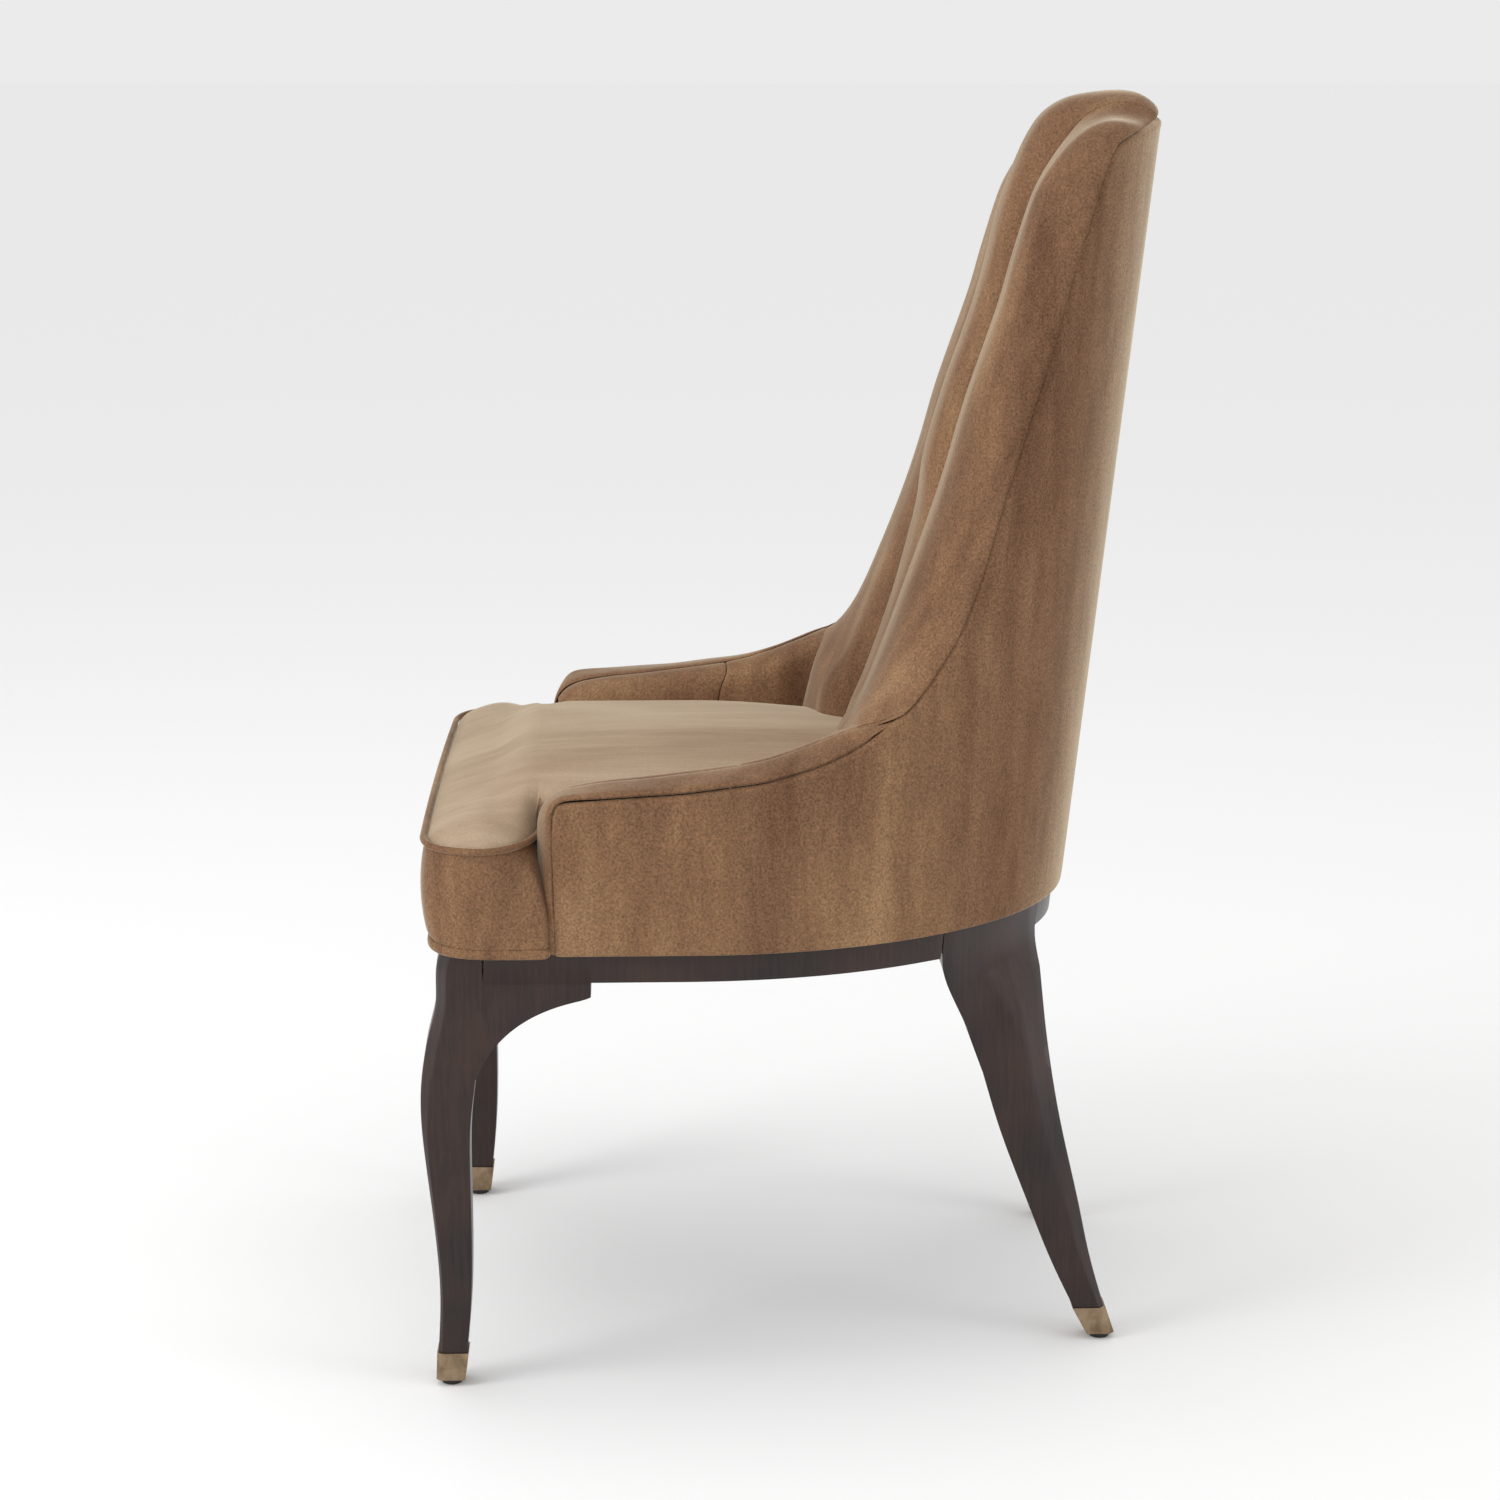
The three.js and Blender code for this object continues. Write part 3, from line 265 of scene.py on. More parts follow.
# Small tools
def apply(piece, kind, **settings):
    bpy.context.view_layer.objects.active = piece
    modifier = piece.modifiers.new(kind.lower(), kind)
    for key, value in settings.items():
        setattr(modifier, key, value)
    bpy.ops.object.modifier_apply(modifier=modifier.name)


def smooth(piece, degrees=180):
    bpy.ops.object.select_all(action="DESELECT")
    piece.select_set(True)
    bpy.context.view_layer.objects.active = piece
    if degrees >= 180:
        bpy.ops.object.shade_smooth()
    else:
        bpy.ops.object.shade_smooth_by_angle(angle=math.radians(degrees))


def inEdit(piece, *steps):
    bpy.ops.object.select_all(action="DESELECT")
    piece.select_set(True)
    bpy.context.view_layer.objects.active = piece
    bpy.ops.object.mode_set(mode="EDIT")
    bpy.ops.mesh.select_all(action="SELECT")
    for step in steps:
        step()
    bpy.ops.object.mode_set(mode="OBJECT")


def finishPiece(piece, material, nodes, body="frame"):
    piece.data.materials.clear()
    piece.data.materials.append(material)
    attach(piece, body)
    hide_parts(*nodes)


# A sheet of quads laid over rows of points: a grid primitive whose points are moved into place
def layGrid(name, rows):
    bpy.ops.object.select_all(action="DESELECT")
    bpy.ops.mesh.primitive_grid_add(x_subdivisions=len(rows[0]) - 1, y_subdivisions=len(rows) - 1)
    piece = bpy.context.object
    piece.name = name
    points = [point for row in rows for point in row]
    for vertex, point in zip(piece.data.vertices, points):
        vertex.co = point
    return piece


def faceOut(piece, centre):
    total = sum((f.center - centre).dot(f.normal) * f.area for f in piece.data.polygons)
    if total < 0:
        inEdit(piece, lambda: bpy.ops.mesh.flip_normals())


# A velvet cover laid over rows of points: its thickness goes inwards, then it is smoothed once
def makeVelvet(name, rows, middle, thickness, nodes, material=velvetCloth, sharp=60):
    piece = layGrid(name, rows)
    faceOut(piece, middle)
    apply(piece, "SOLIDIFY", thickness=thickness / 1000, offset=-1)
    apply(piece, "SUBSURF", levels=1, render_levels=1)
    smooth(piece, sharp)
    finishPiece(piece, material, nodes)
    return piece


# Points evenly spaced on a smooth curve through the given ones
def along(points, count, steps=12):
    points = [Vector(p) for p in points]
    ends = [points[0] * 2 - points[1], *points, points[-1] * 2 - points[-2]]
    fine = []
    for a, b, c, d in zip(ends, ends[1:], ends[2:], ends[3:]):
        for i in range(steps):
            t = i / steps
            fine.append(0.5 * (2 * b + (c - a) * t + (2 * a - 5 * b + 4 * c - d) * t * t
                               + (3 * b - a - 3 * c + d) * t ** 3))
    fine.append(points[-1])
    lengths = [0]
    for a, b in zip(fine, fine[1:]):
        lengths.append(lengths[-1] + (b - a).length)
    result = []
    spot = 0
    for i in range(count):
        want = lengths[-1] * i / (count - 1)
        while spot < len(fine) - 2 and lengths[spot + 1] < want:
            spot += 1
        step = lengths[spot + 1] - lengths[spot]
        share = (want - lengths[spot]) / step if step else 0
        result.append(fine[spot].lerp(fine[spot + 1], min(1, share)))
    return result


# The value at a key, on straight lines between sorted pairs
def lookUp(pairs, key):
    if key <= pairs[0][0]:
        return pairs[0][1]
    for (k0, v0), (k1, v1) in zip(pairs, pairs[1:]):
        if key <= k1:
            return v0 + (v1 - v0) * (key - k0) / (k1 - k0)
    return pairs[-1][1]


def clamp(value):
    return max(0, min(1, value))


def eased(value):
    value = clamp(value)
    return value * value * (3 - 2 * value)


def bell(value, middle, width):
    return math.exp(-((value - middle) / width) ** 2)


# Shares from 0 to 1, crowded towards both ends where the cloth turns into a seam
def crowded(ends, first, steps):
    middle = [i / steps for i in range(first, steps - first + 1)]
    return [*ends, *middle, *[1 - share for share in ends[::-1]]]


def sideName(side):
    return "left" if side > 0 else "right"



# How far back the shell leans at a height, and half its width at a depth
def lean(z):
    return shell["lean"] * (z - shell["bottom"])


def halfWidth(depth, inset=0.0):
    share = (depth - shell["centre"]) / (shell["depth"] - inset)
    return (shell["halfWidth"] - inset) * math.sqrt(max(0, 1 - max(0, share) ** 2))


# The seam along the top of the outside cover, by depth without the lean
topSeam = [
    (77, 491), (79, 497), (84, 499), (114, 501), (146, 503), (178, 505), (209, 509), (241, 513),
    (264, 519), (287, 526), (313, 538), (328, 547), (342, 558), (354, 569), (366, 586), (377, 605),
    (387, 625), (393, 645), (402, 680), (409, 724), (415, 746), (419, 767), (427, 805), (437, 845),
    (444, 890), (452, 928), (459, 961), (466, 991), (470, 1001), (484, 1007), (500, 1013),
    (512, 1018), (519, 1021), (524, 1022),
]


# The seam itself lies a little inside the shell's surface, where the covers on both sides dive to
# it, and beside it the cloth stands up in a low ridge
seamLook = {
    "inset": 5.5,
    "reach": 1.6,
    "gap": 0.35,
    "ridge": 0.9,
    "ridgeAt": 4.5,     # mm from the seam
    "ridgeWide": 2.2,
}


def ridge(away):
    return seamLook["ridge"] * bell(away, seamLook["ridgeAt"], seamLook["ridgeWide"])


def seamPoint(depth, inset):
    z = lookUp(topSeam, depth)
    return Vector((halfWidth(min(depth, shell["centre"] + shell["depth"] - inset), inset),
                   depth + lean(z), z))


def mirrored(points, side):
    return [mm(side * p.x, p.y, p.z) for p in points]


# Outside cover: one panel round both arms and the back, pulled in along its seams
coverLook = {
    "columns": 84,
    "crowding": 1.15,   # draws the columns towards the front edge
    "edgeShares": [0.0008, 0.0018, 0.0032, 0.005],      # more columns where the front edge turns in
    "rows": 18,
    "front": 77,        # depth of the panel's front corner, before the lean
    "hem": [(1.5, 5.5), (0, 2.2), (1.6, 0.6), (4, 0)],  # how high and how far in, from the lower edge
    "turn": 16,         # mm below the top seam where its own rows begin
    "turnRows": [10, 6.5, 4.4, 3, 2, 1.3, 0.8, 0.3, 0],
    "slopeOver": 4,     # mm to each side over which the top seam's slope is taken
    "thickness": 2.5,
}


def coverColumn(share, side, look):
    front, rear = look["front"], shell["centre"] + shell["depth"]
    topDepth = front + (rear - front) * math.sin(share * math.pi / 2)
    straight = max(0, 1 - (topDepth - front) / (shell["centre"] - front))
    footDepth = topDepth + (shell["armFront"] - front) * straight
    before, after = [lookUp(topSeam, topDepth + way * look["slopeOver"]) for way in (-1, 1)]
    # the groove is as wide where the seam climbs
    stretch = math.hypot(1, (after - before) / look["slopeOver"] / 2)
    high = lookUp(topSeam, topDepth) - seamLook["gap"] * stretch
    column = [(0, shell["bottom"] + up, inset) for up, inset in look["hem"]]
    low = column[-1][1]
    for i in range(1, look["rows"] + 1):
        v = i / look["rows"]
        column.append((v, low + (high - look["turn"] * stretch - low) * v, 0))
    for below in look["turnRows"]:
        column.append((1, high - below * stretch,
                       seamLook["inset"] * math.exp(-below / seamLook["reach"]) - ridge(below)))
    points = []
    for v, z, inset in column:
        inset += seamLook["inset"] * math.exp(-(topDepth - front) / seamLook["reach"])
        depth = footDepth + (topDepth - footDepth) * v
        if depth > shell["centre"]:
            depth = shell["centre"] + (depth - shell["centre"]) * (1 - inset / shell["depth"])
        points.append(Vector((halfWidth(depth, inset), depth + lean(z), z)))
    return mirrored(points, side)


def makeCover(look):
    shares = [(i / look["columns"]) ** look["crowding"] for i in range(look["columns"] + 1)]
    shares[1:1] = look["edgeShares"]
    left = [coverColumn(s, 1, look) for s in shares]
    right = [coverColumn(s, -1, look) for s in shares[:-1]]
    piece = makeVelvet("outer_cover_velvet", left + right[::-1], mm(0, 250, 600),
                       look["thickness"], ["outer_cover"], shellVelvetPaintedSheen, 50)


makeCover(coverLook)
print("outside cover made")

# Arm boxing: a crowned strip up the front of the arm and back along its top to a point
boxingLook = {
    "inner": 231,       # mm from the middle of the chair to its inner seam
    "footHeight": 434,  # mm, under which the inner seam moves out behind the seat's boxing
    "footEase": 16,
    "footShift": 34,
    "narrowFrom": 300,  # mm, the depth from which the strip narrows to a point
    "narrowOver": 63,
    "tip": 2,           # mm of the strip's width left at the point
    "crown": 5.2,
    "crownKeep": 1.6,   # the crown stays full until the strip is this many times narrower
    "edge": 4,          # mm beside the outer seam whose swell keeps its width
    "edgeKeep": 1.5,
    "rows": 110,
    "thickness": 2.5,
}
innerArmEdge = [
    (80, 377), (79, 400), (78.5, 430), (79, 455), (79.5, 474), (82, 484), (88, 492), (100, 498),
    (127, 503), (160, 506), (193, 510), (225, 514), (257, 520), (282, 528), (307, 538), (330, 547),
    (348, 552), (363, 557),
]
outerArmEdge = [
    (90, 375), (90, 400), (90, 430), (90, 458), (90, 484), (91, 493), (96, 498), (107, 500),
    (128, 501), (160, 503), (192, 505), (224, 509), (256, 513), (280, 519), (304, 526), (331, 538),
    (344, 547), (363, 557),
]


# Where the strip lies between its seams: how far across, and how high as a share of the crown.
# It swells out past the outer seam before it turns over.
boxingProfile = [
    (0, 0), (-1.5, 0.16), (-2.3, 0.38), (-2.4, 0.6), (-1.6, 0.78), (0.4, 0.9), (4, 0.98),
    (10, 1), (18, 1), (26, 0.96), (33, 0.86), (37.5, 0.72), (39.6, 0.55), (40.4, 0.42), (40.5, 0.3),
]


# The inner seam's place across the chair, drawn to the outer seam's towards the arm's rear
def narrowed(outerX, depth, look, x=boxingLook["inner"]):
    share = max(0, (depth - look["narrowFrom"]) / look["narrowOver"])
    return x + (outerX - x) * share ** 2


def makeBoxing(side, look):
    inner = []
    for y, z in innerArmEdge:
        out = look["footShift"] * clamp((look["footHeight"] - z) / look["footEase"])
        inner.append((look["inner"] + out, y, z))
    inner = along(inner, look["rows"])
    outer = along([(halfWidth(y - lean(z), seamLook["inset"]), y, z) for y, z in outerArmEdge],
                  look["rows"])
    rows = []
    for i, (a, b) in enumerate(zip(inner, outer)):
        a = Vector((narrowed(b.x - look["tip"], a.y, look, a.x), a.y, a.z))
        ahead = (outer[min(i + 1, len(outer) - 1)] - outer[max(i - 1, 0)]).normalized()
        across = a - b
        scale = across.length / boxingProfile[-1][0]
        across.normalize()
        normal = ahead.cross(across).normalized()
        if normal.z - normal.y < 0:
            normal = -normal
        high = look["crown"] * min(1, scale * look["crownKeep"])
        row = []
        for reach, rise in boxingProfile:
            kept = scale if reach > look["edge"] else min(1, scale * look["edgeKeep"])
            row.append(b + across * reach * kept + normal * rise * high)
        rows.append(mirrored(row, side))
    name = sideName(side)
    piece = makeVelvet(f"arm_boxing_velvet_{name}", rows, mm(side * 250, 200, 430),
                       look["thickness"], [f"arm_boxing_{name}"])


for side in (1, -1):
    makeBoxing(side, boxingLook)
print("arm boxings made")

# Inside arms: two pads on each side with an upright seam between them
padLook = {
    "face": 193,        # mm from the middle of the chair to the padded face
    "foot": 428,        # height of the pads' lower edge, out of sight beside the seat
    "topFrom": 483,     # height where the arm's edge has turned level
    "columns": crowded([0, 0.006, 0.016, 0.03, 0.06], 2, 16),
    "rows": 18,
    "width": 120,       # mm across one pad
    "tuck": 2.2,
    "tuckReach": 3,
    "rollShare": 15 / 130,      # of the front pad's width, rolled round the arm's front
    "rearLean": 19,     # mm that the shell leans at the height of the arm's rear
    "rearInset": 6,
    "thickness": 3.0,
}
armSeams = {            # depth of each upright seam beside the seat and at the arm's top
    "front": (80, 81),
    "middle": (216, 238),
    "rear": (314, 340),
}


def makeInnerArm(side, where, look):
    fromSeam, toSeam = [("front", "middle"), ("middle", "rear")][where == "rear"]
    edge = [(y, z) for y, z in innerArmEdge if z > look["topFrom"]]
    face, foot = look["face"], look["foot"]
    rows = []
    for v in look["columns"]:
        bottom, top = [a * (1 - v) + b * v for a, b in zip(armSeams[fromSeam], armSeams[toSeam])]
        topZ = lookUp(edge, top)
        edgeX = narrowed(halfWidth(top - look["rearLean"], look["rearInset"]), top, boxingLook)
        outline = [(face + 3, bottom, foot), (face, bottom, foot + 22),
                   (face - 2, bottom + (top - bottom) * 0.5, foot + 46),
                   (face + 1, bottom + (top - bottom) * 0.75, topZ - 16),
                   (face + 9, top, topZ - 4), (face + 22, top, topZ + 1.5),
                   (edgeX - 1, top, topZ + 2.4), (edgeX + 2, top, topZ + 1)]
        turn = min(1, v / look["rollShare"]) if where == "front" else 1
        roll = 1 - math.sqrt(1 - (1 - turn) ** 2)
        tuck = look["tuck"] * math.exp(-min(v, 1 - v) * look["width"] / look["tuckReach"])
        row = []
        for p in along(outline, look["rows"]):
            rise = (p.z - foot) / (topZ - foot)
            x = p.x + (boxingLook["inner"] - p.x) * roll + tuck * (1 - rise * 0.5)
            row.append(mm(side * x, p.y, p.z - tuck * rise * 0.6))
        rows.append(row)
    name = sideName(side)
    piece = makeVelvet(f"inner_arm_{where}_velvet_{name}", rows, mm(side * 260, 200, 400),
                       look["thickness"], [f"inner_arm_{where}_{name}"])


for side in (1, -1):
    for where in ("front", "rear"):
        makeInnerArm(side, where, padLook)
print("inside arms made")

# Back: three channels that fan out from the seat, roll over the top and end in the rear seam
channelLook = {
    "seamX": 55,        # mm from the middle of the chair to the groove between two channels
    "seamGap": 0.3,
    "crestX": 112,
    "rows": 96,
    "across": [0, 0.04, 0.1, 0.2, 0.33, 0.47, 0.62, 0.8, 1],
    "swell": 3.2,       # how quickly the centre channel swells from the groove
    "sideAcross": [0, 0.02, 0.06, 0.12, 0.25, 0.42, 0.6, 0.8],
    "sideSwell": 2.8,
    "fallAcross": [0.17, 0.35, 0.52, 0.7, 0.86, 1],     # from the crest towards the outer seam
    "fall": 1.7,
    "edge": 14,         # mm beside the outer seam with rows of its own
    "edgeShare": 0.3,   # of a narrow channel's width at most
    "edgeRows": [9, 5.5, 3.4, 2, 1, 0.4, 0],
    "seamDepths": range(345, 471, 5),
    "lip": 0.5,         # mm that the channel's edge lies inside the shell's surface
    "bulge": 8,
    "bulgeFlat": 0.75,  # below 1 the bulge is flatter than a sine's
    "bulgeWay": (0.75, -0.6, 0.25),
    "fullWidth": 80,    # mm, a channel narrower than this bulges less
    "overhang": 2.2,    # mm that the side channel rolls over its outer seam
    "overhangAt": 2,
    "overhangWide": 1.6,
    "liftWay": (1.44, -0.56, 0),
    "landFrom": 0.94,   # share of the length where the channel comes down onto the rear seam
    "sinkFrom": 0.98,   # and where it sinks into it
    "landLift": 0.4,
    "thickness": 3.0,
}
grooveLine = [
    (338, 432), (346, 500), (362, 549), (373, 580), (385, 616), (397, 660), (408, 699), (420, 740),
    (437, 797), (452, 840), (461, 870), (470, 904), (481, 939), (490, 963), (503, 989), (516, 1012),
    (533, 1027), (556, 1034), (570, 1032), (580, 1028), (587, 1023), (584, 1020),
]
centreLine = [
    (326, 432), (334, 500), (353, 549), (364, 580), (376, 616), (388, 660), (397, 699), (402, 740),
    (418, 797), (433, 840), (443, 870), (452, 904), (460, 939), (467, 963), (476, 986), (485, 1006),
    (497, 1024), (513, 1035), (530, 1040), (557, 1043), (575, 1042), (587, 1036), (594, 1027), (592, 1022),
]
crestLine = [
    (308, 432), (317, 500), (324, 526), (340, 549), (353, 579), (367, 616), (376, 641), (397, 699),
    (410, 740), (426, 797), (451, 870), (462, 910), (476, 956), (485, 975), (496, 991), (510, 1006),
    (524, 1016), (540, 1021), (552, 1020), (560, 1017), (565, 1013), (563, 1010),
]
armCorner = [(199, 306, 432), (199, 309, 478), (208, 318, 510), (223, 325, 537), (231, 331, 547),
             (240, 347, 553)]


# Towards its top end a channel comes down onto the seam that crosses the rear of the roll
def onto(p, share, look):
    near = max(0, (share - look["landFrom"]) / (1 - look["landFrom"])) ** 2
    inset = seamLook["inset"] * max(0, (share - look["sinkFrom"]) / (1 - look["sinkFrom"]))
    across = min(1, abs(p.x) / (shell["halfWidth"] - inset))
    depth = shell["centre"] + (shell["depth"] - inset) * math.sqrt(1 - across ** 2)
    z = lookUp(topSeam, depth) + look["landLift"]
    return p.lerp(Vector((p.x, depth + lean(z), z)), near)


def makeCentreChannel(look):
    half = look["seamX"]
    groove = along([(half, y, z) for y, z in grooveLine], look["rows"])
    crest = along([(0, y, z) for y, z in centreLine], look["rows"])
    rows = []
    for i, (g, c) in enumerate(zip(groove, crest)):
        halfRow = []
        for u in look["across"]:
            # from the groove the padding swells quickly, then lies nearly flat
            swell = 1 - (1 - u) ** look["swell"]
            p = Vector((half * (1 - u), g.y + (c.y - g.y) * swell, g.z + (c.z - g.z) * swell))
            halfRow.append(onto(p, i / (look["rows"] - 1), look))
        rows.append(mirrored(halfRow, -1) + mirrored(halfRow[-2::-1], 1))
    piece = makeVelvet("back_channel_velvet_centre", rows, mm(0, 540, 700), look["thickness"],
                       ["back_channel_centre"])


def makeSideChannel(side, look):
    groove = along([(look["seamX"] + look["seamGap"], y, z) for y, z in grooveLine], look["rows"])
    crest = along([(look["crestX"], y, z) for y, z in crestLine], look["rows"])
    onShell = along(armCorner + [seamPoint(d, look["lip"]) for d in look["seamDepths"]], look["rows"])
    inSeam = along(armCorner + [seamPoint(d, seamLook["inset"]) for d in look["seamDepths"]],
                   look["rows"])
    rows = []
    for i, (g, c, o, s) in enumerate(zip(groove, crest, onShell, inSeam)):
        # rounded from the groove to the crest, then falling away to the outer seam
        row = []
        for u in look["sideAcross"]:
            swell = 1 - (1 - u) ** look["sideSwell"]
            row.append(Vector((g.x + (c.x - g.x) * u, g.y + (c.y - g.y) * swell,
                               g.z + (c.z - g.z) * swell)))
        row.append(c)
        outward = o - c
        width = outward.length
        near = min(look["edge"], width * look["edgeShare"])
        places = [u * (1 - near / width) for u in look["fallAcross"]]
        places += [1 - near * d / look["edge"] / width for d in look["edgeRows"]]
        full = look["bulge"] * min(1, width / look["fullWidth"])
        for u in places:
            fall = u ** look["fall"]
            away = (1 - u) * width
            p = Vector((c.x + outward.x * u, c.y + outward.y * fall, c.z + outward.z * fall))
            p += Vector(look["bulgeWay"]) * math.sin(math.pi * u) ** look["bulgeFlat"] * full
            p += (s - o) * math.exp(-away / seamLook["reach"])
            p += outward.normalized() * look["overhang"] * bell(away, look["overhangAt"],
                                                                look["overhangWide"])
            row.append(p + Vector(look["liftWay"]) * ridge(away))
        row = [onto(p, i / (look["rows"] - 1), look) for p in row]
        rows.append(mirrored(row, side))
    name = sideName(side)
    piece = makeVelvet(f"back_channel_velvet_{name}", rows, mm(side * 60, 560, 640),
                       look["thickness"], [f"back_channel_{name}"])


makeCentreChannel(channelLook)
for side in (1, -1):
    makeSideChannel(side, channelLook)
print("back channels made")

# Seat: a T-shaped crowned top, piped along its edge, over a soft boxing that runs round the front
# from one arm to the other
seatSizes = {
    "front": -14,
    "bow": 2,           # mm that the front edge's middle stands ahead of its ends
    "turn": 52,         # mm, the front corners
    "turnPull": 3,      # mm that a corner stays inside a square one
    "frontPoints": 22,
    "turnPoints": 12,
    "rearPoints": 26,
    "stem": 196,
    "stemFront": 84,
    "rear": 346,
    "edge": 463,
    "sideEdge": [(90, 487), (224, 487), (265, 484), (302, 479), (346, 474)],    # beside the arms
    "stepAcross": (216, -20),   # where the edge climbs from the wings to the arms, and over how far
    "stepBack": (62, 30),
    "shoulderAcross": (250, -55),
    "shoulderBack": (30, 42),
    "crown": 505,
    "crownReach": 95,   # mm from the edge over which most of the crown rises
    "rim": 0.1,         # share of the crown that rises within rimReach of the edge
    "rimReach": 5,
    "blend": 6,
    "dip": 1.5,         # mm that the top dives beside the piping, and over how far
    "bottom": 382,
    "bulge": 6,
    "bulgeFront": 34,   # mm, the boxing swells forwards ahead of this depth
    "bulgeFrontOver": 48,
    "bulgeSide": 215,   # mm, and sideways beyond this distance from the middle
    "bulgeSideOver": 60,
    "wingSwell": 0.35,  # share of the bulge on the wings' sides
    "rearSwell": 0.2,
    "wingEnd": 60,
    "tuck": 2.5,        # mm that the boxing is tucked in at both its seams
    "tuckSharp": 60,
    "cornerDraw": 2.4,  # how late the boxing's plan turns into the top's
    "bulgeUp": [0, 0.008, 0.025, 0.06, *[i / 12 for i in range(1, 12)], 0.95, 0.98, 1],
    "welt": 5.6,
    "weltOut": 2.2,     # mm that the piping's middle lies outside the top's edge
    "foamGap": 6,       # mm from the top's outside down to the foam
    "thickness": 2.5,
}
# Half the width over the wings, and the way from there to behind the arm's front
pipedCorner = {"wing": 283, "rear": [(280, 42), (275, 49), (263, 60), (247, 68), (228, 73),
                                     (207, 76), (190, 78)]}
hemCorner = {"wing": 278, "rear": [(278.5, 76), (278, 82), (275, 85), (268, 86), (255, 87),
                                   (230, 87), (200, 87)]}


# Half of the outline, from the middle of the front to where it passes behind the arm
def halfOutline(size, corner, inset=0.0):
    front, wing, turn = size["front"] + inset, corner["wing"] - inset, size["turn"]
    bow, pull = size["bow"], size["turnPull"]
    points = []
    for i in range(size["frontPoints"]):
        share = i / size["frontPoints"]
        points.append(Vector((share * (wing - turn), front + bow * share ** 2, 0)))
    for i in range(size["turnPoints"]):
        t = i / size["turnPoints"]
        x = wing - turn * (1 - t) ** 2 - 2 * pull * t * (1 - t)
        y = (front + bow) * (1 - t) ** 2 + 2 * t * (1 - t) * (front + bow + pull)
        points.append(Vector((x, y + t * t * (front + turn), 0)))
    rear = [(wing, front + turn, 0)] + [(x - inset, y - inset, 0) for x, y in corner["rear"]]
    return points + along(rear, size["rearPoints"])


def acrossFront(half):
    return half[::-1] + [Vector((-p.x, p.y, p.z)) for p in half[1:]]


# A smooth step from 0 to 1 that begins at start, down the other way where over is negative
def ramp(value, start, over):
    return eased((value - start) / over)


# The top's edge runs level round the wings, and higher beside the arms
def edgeHeight(x, y, size):
    share = ramp(abs(x), *size["stepAcross"]) * ramp(y, *size["stepBack"])
    return size["edge"] + (lookUp(size["sideEdge"], y) - size["edge"]) * share


def makeSeatBoxing(size):
    low = acrossFront(halfOutline(size, hemCorner))
    top = acrossFront(halfOutline(size, pipedCorner))
    rows = []
    for v in size["bulgeUp"]:
        out = size["bulge"] * math.sin(math.pi * v) ** 0.7
        out -= size["tuck"] * (math.exp(-v * size["tuckSharp"])
                               + math.exp(-(1 - v) * size["tuckSharp"]))
        drawn = v ** size["cornerDraw"]
        row = []
        for p, q in zip(low, top):
            x, y = p.x + (q.x - p.x) * drawn, p.y + (q.y - p.y) * drawn
            frontness = clamp((size["bulgeFront"] - y) / size["bulgeFrontOver"])
            sideness = clamp((abs(x) - size["bulgeSide"]) / size["bulgeSideOver"])
            sideness *= size["wingSwell"] if y < size["wingEnd"] else size["rearSwell"]
            high = edgeHeight(q.x, q.y, size) - 1
            row.append(mm(x + math.copysign(sideness * out, x), y - frontness * out,
                          size["bottom"] + (high - size["bottom"]) * v))
        rows.append(row)
    piece = makeVelvet("seat_boxing_velvet", rows, mm(0, 100, 400), size["thickness"],
                       ["seat_cover"])


# How far a point of the top lies from its edge, and how high it stands
def edgeDistance(x, y, edge):
    best = 1e9
    for p, q in zip(edge, edge[1:]):
        dx, dy = q.x - p.x, q.y - p.y
        t = max(0, min(1, ((x - p.x) * dx + (y - p.y) * dy) / (dx * dx + dy * dy)))
        best = min(best, (x - p.x - dx * t) ** 2 + (y - p.y - dy * t) ** 2)
    return math.sqrt(best)


def topHeight(x, y, edge, size):
    distance = edgeDistance(x, y, edge)
    # behind the wings the padding shoulders up quickly from the piping
    shoulder = ramp(x, *size["shoulderAcross"]) * ramp(y, *size["shoulderBack"])
    behind = size["edge"] + (lookUp(size["sideEdge"], y) - size["edge"]) * shoulder
    low = behind + (edgeHeight(x, y, size) - behind) * math.exp(-distance / size["blend"])
    rise = (size["rim"] * (1 - math.exp(-distance / size["rimReach"]))
            + (1 - size["rim"]) * (1 - math.exp(-distance / size["crownReach"])))
    return low + (size["crown"] - low) * rise - size["dip"] * math.exp(-distance / size["dip"])


# Half of the top's whole edge, with the sides that run back between the arms
def topEdge(size, inset=0.0):
    half = halfOutline(size, pipedCorner, inset)
    return half + [Vector((size["stem"], y, 0)) for y in (size["stemFront"], size["rear"])]


topRows = {
    "inset": 0.4,
    # depths of the rows beside the wings, and between the arms
    "wing": [34, 38, 42, 46, 50, 54, 57, 60, 63, 66, 69, 71, 73, 75, 77, 79, 81, 84],
    "stem": [88, 94, 102, 112, 124, 138, 154, 172, 192, 214, 238, 264, 292, 320],
    "across": [0.997, 0.991, 0.982, 0.97, 0.95, 0.925, 0.89, 0.84, 0.78, 0.7, 0.6, 0.48, 0.36,
               0.24, 0.12],
    "bowOver": 20,      # mm behind the front edge where the rows have become straight
}


